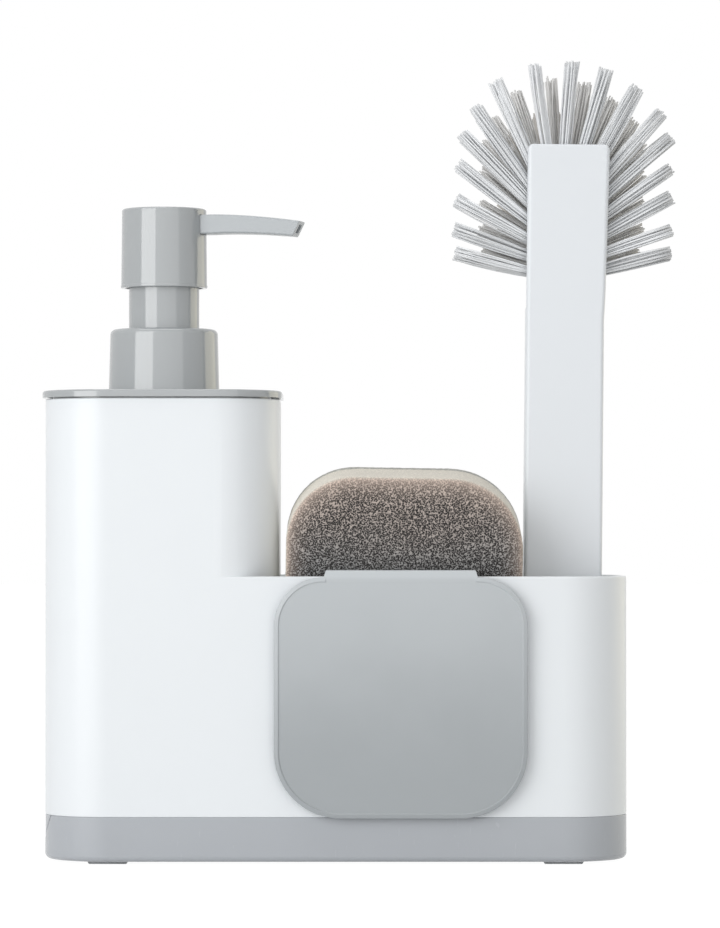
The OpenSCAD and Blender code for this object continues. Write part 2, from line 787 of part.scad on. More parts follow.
module brush_handle() {
    lap = face_t / 2;
    // The face is flush with the grip on the left and stands out on the right
    face_set = (face_w - grip_w) / 2;
    color(white) at_brush() {
        translate([0, grip_t / 2, 0]) soft_slab(grip_w, grip_t, grip_edge_r, grip_l, grip_edge_r, 0);
        translate([0, 0, grip_l - lap]) translate([-grip_w / 2 + grip_edge_r, grip_edge_r, 0])
            cube([grip_w - 2 * grip_edge_r, face_t - grip_edge_r, 2 * lap]);
        translate([face_set, face_t, grip_l + face_l / 2]) rotate([90, 0, 0])
            soft_slab(face_w, face_l, handle_edge_r, face_t, 0, handle_edge_r / 2);
    }
}

// Tufts stand round the block in a U: an arc of three steps to each side, then the sides.
// Each has a place on the root path, an angle from upright and a length up to the trimmed outline.
function tuft_turn(k) = min(abs(k), arc_tufts) * 90 / arc_tufts;
function tuft_u(k) = sign(k) * root_r * sin(tuft_turn(k));
function tuft_w(k) = arc_z + root_r * cos(tuft_turn(k)) - max(abs(k) - arc_tufts, 0) * tuft_pitch;
function tuft_angle(k) = sign(k) * tuft_angle_max * pow(abs(k) / tuft_side, tuft_power);
function tuft_reach(u, w, a, r) = let (
    side = (r - abs(u)) / max(sin(abs(a)), least_sine),
    b = abs(u) * sin(abs(a)) + (w - fan_z) * cos(a),
    c = u * u + (w - fan_z) * (w - fan_z) - r * r)
    w + side * cos(a) <= fan_z ? side : -b + sqrt(b * b - c);

// One strand of three sides from a to b, with e and f across it
module strand(a, b, e, f) {
    corner = [for (i = [0:2]) strand_r * (e * cos(120 * i) + f * sin(120 * i))];
    polyhedron(points = [for (end = [a, b], c = corner) end + c],
        faces = [[0, 1, 2], [3, 5, 4], [0, 3, 1], [1, 3, 4], [1, 4, 2], [2, 4, 5], [2, 5, 0], [0, 5, 3]]);
}

module tuft(k, y, tilt, r, count) {
    a = tuft_angle(k);
    u = tuft_u(k);
    w = tuft_w(k);
    along = [sin(a) * cos(tilt), sin(tilt), cos(a) * cos(tilt)];
    e = [cos(a), 0, -sin(a)];
    f = cross(along, e);
    reach = tuft_reach(u, w, a, r);
    root = [u, y, w];
    for (j = [0:count - 1]) {
        turn = 360 * j / (count - 1);
        ring_share = j == 0 ? 0 : 1;
        out = ring_share * (e * cos(turn) + f * sin(turn));
        trim = 1 - strand_trim_share * abs(sin(47 * j + 71 * k));
        strand(root + out * tuft_root_r, root + along * reach * trim + out * tuft_tip_r, e, f);
    }
}

// A row of tufts on its slice of the tuft block, whose lower face is at from
module tuft_row(from, tilt, r, places, count) {
    at_brush() translate([fan_set, 0, 0]) {
        translate([0, from + slice_t, 0]) rotate([90, 0, 0]) linear_extrude(height = slice_t) {
            translate([0, arc_z]) circle(block_r);
            translate([-block_r, grip_l]) square([2 * block_r, arc_z - grip_l]);
        }
        for (k = places) tuft(k, from + slice_t / 2, tilt, r, count);
    }
}

module bristles_front() {
    color(silver) tuft_row(face_t, 0, fan_r, [for (k = [-tuft_side:tuft_side]) k], strand_count);
}

module bristles_middle() {
    color(silver) tuft_row(face_t + slice_t, middle_tilt, fan_r * middle_share,
        [for (k = [-tuft_side:tuft_side - 1]) k + 0.5], strand_count - 1);
}

module bristles_back() {
    color(silver) tuft_row(face_t + 2 * slice_t, back_tilt, fan_r * back_share,
        [for (k = [1 - tuft_side:tuft_side - 1]) k], strand_count - 2);
}

base_tray();
feet();
body_shell();
tank_lid();
lid_seal();
pump_gasket();
pump_housing();
check_ball();
dip_tube();
guide_sleeve();
pump_collar();
pump_stem();
pump_piston();
stem_plug();
return_spring();
pump_head();
spout();
front_plate();
sponge_foam();
sponge_scourer();
brush_handle();
bristles_front();
bristles_middle();
bristles_back();
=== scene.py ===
"""Dresses the sink caddy's frame: moulded shell, tray, pump, front plate, sponge and washing-up brush."""

import math

import bmesh
import bpy
import numpy as np
from bpy.props import FloatProperty, FloatVectorProperty, IntProperty, PointerProperty
from mathutils import Matrix, Vector, noise


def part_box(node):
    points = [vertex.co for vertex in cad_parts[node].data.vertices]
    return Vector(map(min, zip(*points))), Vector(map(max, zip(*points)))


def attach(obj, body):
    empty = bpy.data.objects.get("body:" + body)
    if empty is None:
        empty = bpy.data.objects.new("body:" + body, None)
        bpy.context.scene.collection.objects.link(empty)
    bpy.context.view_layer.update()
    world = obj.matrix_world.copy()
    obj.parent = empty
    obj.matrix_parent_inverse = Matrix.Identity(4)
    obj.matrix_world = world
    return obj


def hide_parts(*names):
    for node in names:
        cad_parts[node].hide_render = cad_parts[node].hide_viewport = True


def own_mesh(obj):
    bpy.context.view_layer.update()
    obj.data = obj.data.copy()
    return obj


bl_info = {
    "name": "Sink caddy",
    "version": (1, 0, 0),
    "blender": (4, 5, 0),
    "location": "3D View > Sidebar > Caddy",
    "description": "Builds the looks of a sink caddy with pump, front plate, sponge and brush",
    "category": "Object",
}

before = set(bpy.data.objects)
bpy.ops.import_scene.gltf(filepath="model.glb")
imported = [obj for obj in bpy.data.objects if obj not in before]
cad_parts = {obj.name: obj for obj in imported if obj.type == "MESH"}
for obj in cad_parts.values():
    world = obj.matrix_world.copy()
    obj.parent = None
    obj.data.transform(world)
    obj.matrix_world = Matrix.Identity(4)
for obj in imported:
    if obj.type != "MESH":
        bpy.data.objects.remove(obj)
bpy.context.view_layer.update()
MM = 0.001

# How far a cutting solid reaches past what it cuts
OVERRUN = MM

# Places that several pieces share, read from the frame

SHELL_LOW, SHELL_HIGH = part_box("body_shell")
SHELL_MID = (SHELL_LOW + SHELL_HIGH) / 2
SHELL_SIZE = SHELL_HIGH - SHELL_LOW
TRAY_LOW, TRAY_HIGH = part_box("base_tray")
FOOT_LOW, FOOT_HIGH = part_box("feet")
HEAD_LOW, HEAD_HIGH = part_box("pump_head")
COLLAR_LOW, COLLAR_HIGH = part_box("pump_collar")
PLATE_LOW, PLATE_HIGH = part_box("front_plate")
PLATE_MID_X = (PLATE_LOW.x + PLATE_HIGH.x) / 2
FOAM_LOW, FOAM_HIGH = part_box("sponge_foam")
PUMP_AXIS = (COLLAR_LOW + COLLAR_HIGH) / 2


def srgb(red, green, blue):
    """The linear colour of an 8-bit sRGB one."""
    return tuple(((c / 255 + 0.055) / 1.055) ** 2.4 for c in (red, green, blue))


def length(text, value, low=0.0, high=1.0):
    """A property that holds a length in metres, given in millimetres."""
    return FloatProperty(name=text, description=text, default=value * MM, min=low, max=high,
                         unit="LENGTH", precision=5)


def point(text, x, y, z):
    """A property that holds a point, given in millimetres."""
    return FloatVectorProperty(name=text, description=text, size=3, default=(x * MM, y * MM, z * MM),
                               unit="LENGTH", precision=5)


def area(text, width, height):
    """A property that holds the width and height of a lamp, given in millimetres."""
    return FloatVectorProperty(name=text, description=text, size=2, default=(width * MM, height * MM),
                               unit="LENGTH")


def angle(text, value):
    """A property that holds an angle, given in degrees."""
    return FloatProperty(name=text, description=text, default=math.radians(value), unit="ROTATION")


def number(text, value):
    """A property that holds a number without a unit."""
    return FloatProperty(name=text, description=text, default=value)


def count(text, value, low, high):
    """A property that holds a whole number."""
    return IntProperty(name=text, description=text, default=value, min=low, max=high)


def colour(text, red, green, blue):
    """A property that holds a colour, given in 8-bit sRGB."""
    return FloatVectorProperty(name=text, description=text, subtype="COLOR", size=3, min=0, max=1,
                               default=srgb(red, green, blue))


# Settings

class CaddyShellSettings(bpy.types.PropertyGroup):
    corner_radius: length("Plan radius of the caddy's corners", 24)
    wall: length("Wall of the moulding", 2.5)
    tank_length: length("Length of the soap tank", 85.9)
    floor_height: length("Height of the trough's floor above the table", 22.7)
    rim_round: length("Rounding of the trough's rim", 0.8)
    tank_round: length("Rounding of the tank's rim", 0.5)
    seam_round: length("Rounding of the lower edge", 0.35)
    floor_round: length("Rounding where the walls meet the floor", 2)
    skirt_height: length("Height of the skirt under the floor", 2.8)
    rib_height: length("Height of the ribs", 9)
    rib_width: length("Width of a rib", 2)
    rib_round: length("Rounding of a rib's edges", 0.8)
    rib_pitch: length("Spacing of the ribs", 17.34)
    rib_start: length("Distance of the first rib from the tank", 19.54)
    rib_count: count("Number of ribs", 4, 0, 8)
    drain_radius: length("Radius of a drain hole", 2.5)
    drain_margin: length("Distance of the outer drain holes from the walls", 10)
    drain_row: length("Distance between rows of drain holes", 19)
    drain_count: count("Number of drain holes in a row", 7, 1, 12)
    white: colour("White plastic", 236, 240, 243)


class CaddyTraySettings(bpy.types.PropertyGroup):
    edge_round: length("Rounding of the tray's lower edge", 2.1)
    spigot_inset: length("Distance of the spigot from the outside", 2.8)
    spigot_wall: length("Thickness of the spigot", 1.6)
    floor_thickness: length("Thickness of the tray's floor", 2)
    recess_depth: length("Depth of the finger recess", 0.12)
    recess_height: length("Height of the finger recess", 14)
    recess_width: length("Width of the finger recess", 51)
    groove: length("Depth and width of the groove along its edge", 0.8)
    foot_length: length("Length of a foot", 15)
    foot_depth: length("Depth of a foot", 10)
    foot_corner: length("Plan radius of a foot's corners", 0.6)
    foot_slope: length("Slope of a foot's ends", 0.8)
    foot_edge: length("Height of the bevel along a foot's lower edge", 0.15)
    foot_gap: length("Height of a foot's upright sides below the tray", 0.1)
    grey: colour("Grey plastic of the tray", 177, 181, 186)
    # Painted light: the feet painted paler than the tray's grey, standing in for light in the tray's shade
    pad: colour("Grey of the feet", 214, 217, 220)


class CaddyPumpSettings(bpy.types.PropertyGroup):
    head_radius: length("Radius of the head at its lower edge", 16.05)
    head_draft: length("Draft of the head", 0.4)
    head_wall: length("Wall of the head's skirt", 1.7)
    head_roof: length("Thickness of the head's top", 2.2)
    head_round: length("Rounding of the head's top edge", 0.8)
    skirt_round: length("Rounding of the head's lower edge", 0.25)
    lip_height: length("Height of the lip round the head's lower edge", 1.1)
    lip_proud: length("How far that lip stands proud", 0.12)
    boss_radius: length("Radius of the boss round the stem", 6)
    stem_radius: length("Radius of the stem", 4)
    stem_drop: length("Depth of the stem's top below the head's top", 8.9)
    head_height: length("Height of the head from its lip to its top", 29.3)
    spout_reach: length("Reach of the spout from the pump's axis", 52.6)
    spout_width: length("Width of the spout", 9)
    spout_root: length("Height of the spout at the head", 7.15)
    spout_tip: length("Height of the spout at its tip", 5.5)
    spout_drop: length("Drop of the spout's top to its tip", 2.9)
    spout_bend: number("How late the spout bends down, as a power of the way along it", 1.6)
    spout_set: length("Depth of the spout's top below the head's top", 2.4)
    spout_slant: length("Slant of the spout's end", 2.7)
    spout_round: length("Rounding of the spout's long edges", 0.7)
    spout_edge: length("Bevel of the spout's end", 0.15)
    spout_yaw: angle("Turn of the spout towards the front", 13)
    slot_width: length("Width of the spout's outlet", 4)
    slot_height: length("Height of the spout's outlet", 3.1)
    slot_depth: length("Depth of the spout's outlet", 5)
    slot_round: length("Rounding of the outlet's corners", 0.35)
    window_gap: length("Gap round the spout where it leaves the head", 0.15)
    wire: length("Diameter of the spring's wire", 1)
    spring_turns: count("Turns of the spring", 8, 3, 20)
    press_travel: length("Travel of the head", 14.5)
    grey: colour("Grey plastic of the pump", 165, 169, 171)
    spout_grey: colour("Lighter grey of the spout", 176, 181, 184)
    clear: colour("Milky plastic inside the pump", 225, 231, 235)
    rubber: colour("Seals", 96, 98, 100)
    steel: colour("Spring and ball", 200, 200, 198)


class CaddyPlateSettings(bpy.types.PropertyGroup):
    upper_radius: length("Radius of the upper corners", 17.6)
    lower_radius: length("Radius of the lower corners", 24)
    thickness: length("Thickness of the plate", 2)
    lip_width: length("Width of the raised lip", 1.9)
    lip_height: length("Height of the raised lip's crest", 0.4)
    lip_drop: length("Fall of the lip from its crest to the outside", 0.35)
    lip_inside: length("Width of the slope inside the crest", 0.45)
    crest_round: length("Width of the crest's rounding", 0.1)
    edge_round: length("Rounding of the plate's outer edges", 0.3)
    panel_drop: length("Depth of the panel's top below the hook's underside", 0.3)
    set_back: length("How far the panel stands behind the hook's front", 1.4)
    stand_off: length("Distance of the plate from the wall", 2.1)
    hook_width: length("Width of the hook", 54.4)
    hook_thickness: length("Thickness of the hook over the rim", 2.3)
    hook_round: length("Rounding of the hook's top", 1.1)
    hook_proud: length("How far the hook stands in front of the panel", 0.02)
    leg_thickness: length("Thickness of the hook's leg", 1.5)
    leg_length: length("Length of the hook's leg", 5)
    leg_round: length("Rounding of the leg's edges", 0.3)
    gusset: length("Width of the gusset at each end of the hook", 0.6)
    gusset_height: length("Height of that gusset above the rim", 1.8)
    gusset_drop: length("Depth below the rim at which that gusset starts", 0.1)
    rest_width: length("Width of a rest behind the plate", 3)
    rest_length: length("Length of that rest", 14)
    rest_gap: length("Gap between the rest and the wall", 0.15)
    rest_round: length("Rounding of the rest's edges", 0.4)
    grey: colour("Grey plastic of the plate", 190, 195, 198)
    # Painted shade: the plate's grey darkened near its foot
    low: colour("The same near the plate's foot", 164, 169, 172)
    # Heights between which the panel goes from painted shade at its foot to painted light at its top
    painted_shade_height: length("Height up to which the panel is darkest", 30)
    painted_light_height: length("Height from which it is palest", 110)
    painted_light_cloud: length("How far clouds in the plastic shift those heights", 30)
    # Painted light: the hook's top painted paler than the panel, where it catches more light
    pale: number("How much paler the hook is than the panel", 1.11)
    hook_light_low: length("Depth below the hook's top at which it starts to pale", 4)
    hook_light_high: length("Depth below the hook's top at which it is palest", 2)


class CaddySpongeSettings(bpy.types.PropertyGroup):
    width: length("Width of the sponge", 86.7)
    height: length("Length of the sponge", 109.6)
    foam: length("Thickness of the foam", 22)
    scourer: length("Thickness of the scouring layer", 5)
    glue: length("Gap between the foam and the scouring layer", 0.05)
    corner_radius: length("Radius of the corners", 25)
    worn_radius: length("Radius of the upper right corner, which is worn rounder", 27)
    edge_round: length("Rounding of the foam's front edge", 2.2)
    joint_round: length("Rounding of the edges where foam and scouring layer meet", 0.3)
    back_round: length("Rounding of the scouring layer's back edge", 0.9)
    crown: length("Crown of the foam's front face", 0.5)
    crown_width: length("Width of the border over which the crown falls", 14)
    crown_depth: length("Depth over which the crown fades behind the face", 3)
    lean: angle("Forward lean", 8.9)
    roll: angle("Sideways lean", 1)
    voxel: length("Spacing of the foam's mesh", 0.8)
    unevenness: length("Unevenness of the foam's skin", 0.1)
    skin_inset: length("How far the foam's skin lies inside its outline", 0.22)
    fuzz: length("Unevenness of the scouring layer", 0.14)
    fuzz_inset: length("How far the scouring layer lies inside its outline", 0.2)
    # Painted light from above: the sides, top and back paler from this depth, and the face paler and pinker
    # towards its outline, most along the top
    painted_light_start: length("Depth behind the face at which the cut edge starts to pale", 0.4)
    painted_light_fade: length("Depth over which it pales", 2.2)
    border: length("Width of the paler border of the face", 15)
    # Painted shade: the foam's lower part painted cooler and darker, below a wandering border
    painted_dark_low: length("Height up to which the foam is damp", 98)
    painted_dark_high: length("Height from which it is dry", 136)
    painted_dark_cloud: length("How far the damp border wanders", 12)
    pore: length("Size of a pore", 0.56)
    # Painted shade: the pores darkened as the shade inside them
    pore_shade: colour("Foam in its pores", 48, 46, 45)
    strut: colour("Foam on its struts", 197, 183, 174)
    # Painted shade: strut colour over the lower part
    painted_dark: colour("Struts low down", 158, 160, 161)
    # Painted light: the pinker face border and the paler foam of the sides and top
    blush: colour("Struts near the edge", 226, 206, 192)
    edge: colour("Foam at its cut edge", 241, 235, 222)
    fibre: colour("Fibres of the scouring layer", 222, 222, 215)


class CaddyBrushSettings(bpy.types.PropertyGroup):
    foot: point("Middle of the handle's foot at its front face", 74.898, -6.65, 23.1)
    lean: angle("Sideways lean of the brush", 0.6)
    grip_width: length("Width of the grip", 29)
    waist: length("How much narrower the grip is under the head", 0.25)
    step_length: length("Half the length of the soft step between grip and head", 4.5)
    face_step: length("Width of that step", 0.45)
    grip_thickness: length("Thickness of the grip", 14)
    grip_length: length("Length of the grip up to the head", 180.2)
    grip_round: length("Rounding of the grip's long edges", 1.6)
    end_round: length("Rounding of those edges at the ends", 0.3)
    face_width: length("Width of the head's face at its top", 30.4)
    face_length: length("Length of the head's face", 60.5)
    face_thickness: length("Thickness of the head's face", 5)
    face_round: length("Rounding of the face's corners", 2.2)
    face_edge: length("Rounding of the face's front edge", 1.1)
    shoulder: length("Length of the shoulder behind the face", 0.8)
    white: colour("White plastic of the brush", 231, 235, 239)


class CaddyTuftSettings(bpy.types.PropertyGroup):
    fan_set: length("Sideways set of the tufts", -1.4, low=-1.0)
    fan_radius: length("Half the width of the trimmed fan", 39.5)
    fan_drop: length("Drop of the fan's trimming centre below the face's top", 7.2)
    block_radius: length("Half the width of the tuft block", 11)
    block_flat: length("How much tighter its upper corners are than a half circle", 0.2)
    block_corner: length("Radius of its lower corners", 0.5)
    root_radius: length("Radius of the path on which the tufts are rooted", 8)
    root_drop: length("Depth of the top tuft's root below the face's top", 12.4)
    pitch: length("Spacing of the tufts down each side", 5.5)
    slice: length("Thickness of the block that carries one row", 5)
    slice_round: length("Rounding of that block's edges", 0.3)
    side: count("Tufts on each side of the middle one", 8, 2, 8)
    bundle: count("Filaments in a tuft of the front row", 24, 7, 60)
    filament: length("Radius of a filament", 0.35)
    root_spread: length("Radius of a tuft at its root", 1.6)
    tip_spread: length("Radius of a tuft at its tip", 2.75)
    flare: length("How far the outer filaments bow outwards", 0.3)
    bow: length("Spread of the filaments' bows", 0.35)
    stray: length("Spread of the filaments' tips about their places", 0.1575)
    light: colour("Filaments of the front row", 240, 242, 244)
    # Painted shade: the rows further back are painted darker and browner
    shade: colour("Filaments further back", 214, 210, 204)


class CaddyStageSettings(bpy.types.PropertyGroup):
    eye_height: length("Height of the camera", 121.3)
    eye_x: length("Sideways place of the camera", 0.89)
    distance: length("Distance of the camera from the caddy's middle", 1600, high=10)
    horizon_row: number("Pixel row of the horizon in the photograph", 530)
    picture_rows: count("Rows of pixels in the photograph", 928, 1, 4096)
    pixel: length("Size of a pixel at the caddy's middle", 0.3707)
    floor_reach: length("Half the width of the floor", 8000, high=10)
    ambient: number("Strength of the world's light", 0.38)
    aim: point("Point that the lamps round the caddy face", 0, 0, 140)
    key: number("Radiance of the softbox at the left", 2.85)
    key_place: point("Place of the softbox at the left", -880, -930, 420)
    key_size: area("Size of the softbox at the left", 900, 1000)
    top: number("Radiance of the softbox overhead", 1.5)
    top_aim: point("Point that the softbox overhead faces", 0, 0, 100)
    top_place: point("Place of the softbox overhead", -100, -100, 1300)
    top_size: area("Size of the softbox overhead", 1000, 800)
    warm: number("Radiance of the warm reflector behind", 0.9)
    warm_place: point("Place of the warm reflector", 1000, 600, 300)
    warm_size: area("Size of the warm reflector", 900, 900)
    front: number("Radiance of the wide screen in front", 0.7)
    front_place: point("Place of the wide screen in front", 250, -1800, 450)
    front_size: area("Size of the wide screen in front", 2400, 1500)


# Shader maths

class Wire:
    """A shader socket that adds Math nodes when it stands in an expression."""

    def __init__(self, paint, socket):
        self.paint = paint
        self.socket = socket

    def maths(self, operation, a, b):
        return self.paint.node("ShaderNodeMath", {"operation": operation}, {0: a, 1: b})

    def __add__(self, other):
        return self.maths("ADD", self, other)

    __radd__ = __add__

    def __sub__(self, other):
        return self.maths("SUBTRACT", self, other)

    def __rsub__(self, other):
        return self.maths("SUBTRACT", other, self)

    def __mul__(self, other):
        return self.maths("MULTIPLY", self, other)

    __rmul__ = __mul__


class Paint:
    """A material whose nodes are made by expressions."""

    def __init__(self, name):
        self.material = bpy.data.materials.new(name)
        self.material.use_nodes = True
        self.tree = self.material.node_tree
        self.tree.nodes.clear()

    def node(self, kind, settings=None, inputs=None, output=0):
        """Adds a node, sets it up, links or fills its sockets and gives one of its outputs."""
        made = self.tree.nodes.new(kind)
        for key, value in (settings or {}).items():
            setattr(made, key, value)
        for key, value in (inputs or {}).items():
            socket = made.inputs[key]
            if isinstance(value, Wire):
                self.tree.links.new(value.socket, socket)
            elif socket.type == "RGBA":
                socket.default_value = (*value, 1)
            else:
                socket.default_value = value
        return Wire(self, made.outputs[output])

    def place(self):
        return self.node("ShaderNodeTexCoord", output="Object")

    def height(self, place):
        return self.node("ShaderNodeSeparateXYZ", {}, {0: place}, output="Z")

    def attribute(self, name):
        """A number that the mesh carries at its points."""
        return self.node("ShaderNodeAttribute", {"attribute_name": name}, output="Fac")

    def noise(self, place, scale, detail=2.0, roughness=0.5):
        return self.node("ShaderNodeTexNoise", {},
                         {"Vector": place, "Scale": scale, "Detail": detail, "Roughness": roughness})

    def warp(self, place, scale, amount):
        """The place, moved by noise of up to this amount along each axis."""
        field = self.node("ShaderNodeTexNoise", {}, {"Vector": place, "Scale": scale, "Detail": 1},
                          output="Color")
        return self.node("ShaderNodeVectorMath", {"operation": "MULTIPLY_ADD"},
                         {0: field, 1: (amount, amount, amount), 2: place})

    def cells(self, place, size):
        """Distance from the nearest of points that are scattered about this size apart."""
        inputs = {"Vector": place, "Scale": 1 / size}
        return self.node("ShaderNodeTexVoronoi", {}, inputs, output="Distance")

    def stretch(self, place, factors):
        return self.node("ShaderNodeVectorMath", {"operation": "MULTIPLY"}, {0: place, 1: factors})

    def step(self, value, low, high):
        """0 below low, 1 above high, and smooth between."""
        return self.node("ShaderNodeMapRange", {"interpolation_type": "SMOOTHSTEP"},
                         {"Value": value, "From Min": low, "From Max": high})

    def mix(self, factor, a, b):
        """A colour between a and b."""
        return self.node("ShaderNodeMix", {"data_type": "RGBA"}, {"Factor": factor, 6: a, 7: b}, output=2)

    def bump(self, height, depth, strength=1.0):
        return self.node("ShaderNodeBump", {}, {"Height": height, "Distance": depth, "Strength": strength})

    def surface(self, **sockets):
        """Ends the material in a Principled shader; underscores in a name stand for spaces."""
        inputs = {name.replace("_", " "): value for name, value in sockets.items()}
        self.finish(self.node("ShaderNodeBsdfPrincipled", {}, inputs))
        return self.material

    def finish(self, shader, kind="ShaderNodeOutputMaterial"):
        out = self.tree.nodes.new(kind)
        self.tree.links.new(shader.socket, out.inputs["Surface"])


class WorldPaint(Paint):
    """The same for the world."""

    def __init__(self, world):
        world.use_nodes = True
        self.tree = world.node_tree
        self.tree.nodes.clear()


def shaded(tone, factor):
    return tuple(c * factor for c in tone)


# Materials

def eroded_grain(paint, place, depth):
    """Normal of plastic from a mould with a fine eroded grain."""
    fine = paint.noise(place, scale=2600, detail=2, roughness=0.6)
    ripple = paint.noise(place, scale=160, detail=2)
    return paint.bump(fine + ripple * 0.8, depth)


def handling_marks(paint, place):
    """1 on small upright scuffs and 0 between them."""
    upright = paint.stretch(place, (1, 1, 0.12))
    return paint.step(paint.noise(upright, scale=900, detail=3, roughness=0.7), 0.66, 0.74)


def moulded_plastic(name, tone, roughness, mottle=0.03, grain=0.01 * MM, gloss=0.5):
    """Injection-moulded plastic: faint flow clouding, a fine eroded grain and small handling marks."""
    paint = Paint(name)
    place = paint.place()
    cloud = paint.noise(place, scale=28, detail=3)
    shade = paint.mix(cloud, shaded(tone, 1 - mottle), shaded(tone, 1 + mottle / 2))
    wear = 0.06 * (cloud - 0.5) + 0.05 * handling_marks(paint, place)
    return paint.surface(Base_Color=shade, Roughness=roughness + wear, IOR=1.5, Specular_IOR_Level=gloss,
                         Normal=eroded_grain(paint, place, grain))


def shell_plastic(settings):
    return moulded_plastic("shell_white", settings.white, 0.3, mottle=0.012, grain=0.006 * MM)


def tray_plastic(settings):
    return moulded_plastic("tray_grey", settings.grey, 0.26, mottle=0.025)


def pump_plastic(settings):
    return moulded_plastic("pump_grey", settings.grey, 0.1, mottle=0.02, grain=0.003 * MM, gloss=1.0)


def spout_plastic(settings):
    return moulded_plastic("spout_grey", settings.spout_grey, 0.3, grain=0.0015 * MM)


def brush_plastic(settings):
    return moulded_plastic("handle_white", settings.white, 0.32, mottle=0.015, grain=0.008 * MM)


def piston_plastic(settings):
    return moulded_plastic("piston_plastic", shaded(settings.clear, 0.86), 0.4, mottle=0.04)


def plate_plastic(settings):
    """The plate's grey, painted darker towards its foot and paler towards the top as painted shade and
    light, with the hook painted paler still as painted light.
    """
    paint = Paint("plate_grey")
    place = paint.place()
    height = paint.height(place)
    cloud = paint.noise(place, scale=26, detail=3)
    # Painted light and shade: the panel paler towards the top and darker towards its foot
    painted_light_ramp = paint.step(height + (cloud - 0.5) * settings.painted_light_cloud, settings.painted_shade_height, settings.painted_light_height)
    panel = paint.mix(painted_light_ramp, settings.low, settings.grey)
    # Painted light: the hook's top painted paler than the panel
    hook = paint.step(height, PLATE_HIGH.z - settings.hook_light_low, PLATE_HIGH.z - settings.hook_light_high)
    shade = paint.mix(hook, panel, shaded(settings.grey, settings.pale))
    wear = 0.06 * cloud + 0.05 * handling_marks(paint, place)
    return paint.surface(Base_Color=shade, Roughness=0.33 + wear,
                         Normal=eroded_grain(paint, place, 0.012 * MM))


def clear_plastic(settings):
    """Milky polypropylene of the parts inside the pump."""
    paint = Paint("clear_plastic")
    place = paint.place()
    flow = paint.noise(paint.stretch(place, (1, 1, 0.2)), scale=240, detail=3)
    shade = paint.mix(flow, shaded(settings.clear, 0.93), settings.clear)
    return paint.surface(Base_Color=shade, Roughness=0.24 + 0.1 * flow, IOR=1.49, Transmission_Weight=0.35,
                         Normal=paint.bump(flow, 0.01 * MM))


def foot_rubber(settings):
    """Rubber painted paler than the tray as painted light where the tray shades it, with dust on it."""
    paint = Paint("foot_pad")
    place = paint.place()
    dust = paint.noise(place, scale=220, detail=4, roughness=0.65)
    shade = paint.mix(dust, shaded(settings.pad, 0.86), shaded(settings.pad, 1.08))
    return paint.surface(Base_Color=shade, Roughness=0.62 + 0.2 * (dust - 0.5),
                         Normal=paint.bump(paint.noise(place, scale=1800), 0.03 * MM))


def seal_rubber(settings):
    """Dark rubber with a faint bloom."""
    paint = Paint("seal_rubber")
    bloom = paint.noise(paint.place(), scale=300, detail=3)
    shade = paint.mix(bloom, shaded(settings.rubber, 0.85), shaded(settings.rubber, 1.2))
    return paint.surface(Base_Color=shade, Roughness=0.55, Normal=paint.bump(bloom, 0.02 * MM))


def spring_steel(settings):
    """Bright steel with marks across it."""
    paint = Paint("steel")
    drawn = paint.noise(paint.stretch(paint.place(), (1, 1, 9)), scale=900, detail=3, roughness=0.6)
    shade = paint.mix(drawn, shaded(settings.steel, 0.82), settings.steel)
    return paint.surface(Base_Color=shade, Metallic=1.0, Roughness=0.2 + 0.14 * drawn,
                         Normal=paint.bump(drawn, 0.004 * MM))


def foam_material(settings):
    """Open-cell foam: pale struts round pores darkened as painted shade, painted shade low down, and
    painted light on its sides and towards its outline.
    """
    paint = Paint("sponge_foam")
    place = paint.place()
    bent = paint.warp(place, scale=600, amount=0.5 * MM)
    pores = paint.cells(bent, settings.pore)
    fine = paint.cells(bent, settings.pore / 1.9)
    flecks = paint.noise(place, scale=2300, detail=2, roughness=0.7)
    strut = paint.step(pores * 0.72 + fine * 0.28 + flecks * 0.3, 0.56, 0.84)
    cloud = paint.noise(place, scale=45)
    height = paint.height(place) + (cloud - 0.5) * settings.painted_dark_cloud
    # Painted shade: 1 over the lower part, where the struts are painted cooler and darker
    low = 1 - paint.step(height, settings.painted_dark_low, settings.painted_dark_high)
    # Painted shade: pores darkened between pale struts
    body = paint.mix(strut, settings.pore_shade, settings.strut)
    painted_dark = paint.mix(strut, shaded(settings.pore_shade, 0.8), settings.painted_dark)
    blush = paint.mix(strut, shaded(settings.blush, 0.62), settings.blush)
    # Painted light: the paler foam of the sides, top and back
    cut = paint.mix(strut, shaded(settings.edge, 0.82), settings.edge)
    # Painted light from above that each point carries: pinker struts near the outline, paler foam on the
    # sides and top
    edge = paint.attribute("edge")
    face = paint.mix(paint.step(edge, 0.1, 0.95), paint.mix(low, body, painted_dark), blush)
    shade = paint.mix(paint.step(edge, 0.75, 1.4), face, cut)
    relief = strut * (1 - 0.5 * edge)
    return paint.surface(Base_Color=shade, Roughness=0.95, Specular_IOR_Level=0.15,
                         Normal=paint.bump(relief, 0.3 * MM, 0.9), Sheen_Weight=0.2, Sheen_Roughness=0.6)


def scourer_material(settings):
    """Coarse non-woven fibre pad."""
    paint = Paint("scourer")
    place = paint.place()
    upright = paint.noise(paint.stretch(place, (1, 1, 0.18)), scale=1900, detail=3, roughness=0.7)
    across = paint.noise(paint.stretch(place, (0.18, 1, 1)), scale=1900, detail=3, roughness=0.7)
    fibre = paint.step(upright * 0.5 + across * 0.5, 0.42, 0.62)
    grit = paint.noise(place, scale=3400, detail=1)
    shade = paint.mix(fibre, shaded(settings.fibre, 0.7), shaded(settings.fibre, 1.1))
    return paint.surface(Base_Color=shade, Roughness=0.8 + 0.15 * grit, Specular_IOR_Level=0.2,
                         Normal=paint.bump(fibre + grit * 0.3, 0.4 * MM, 0.9))


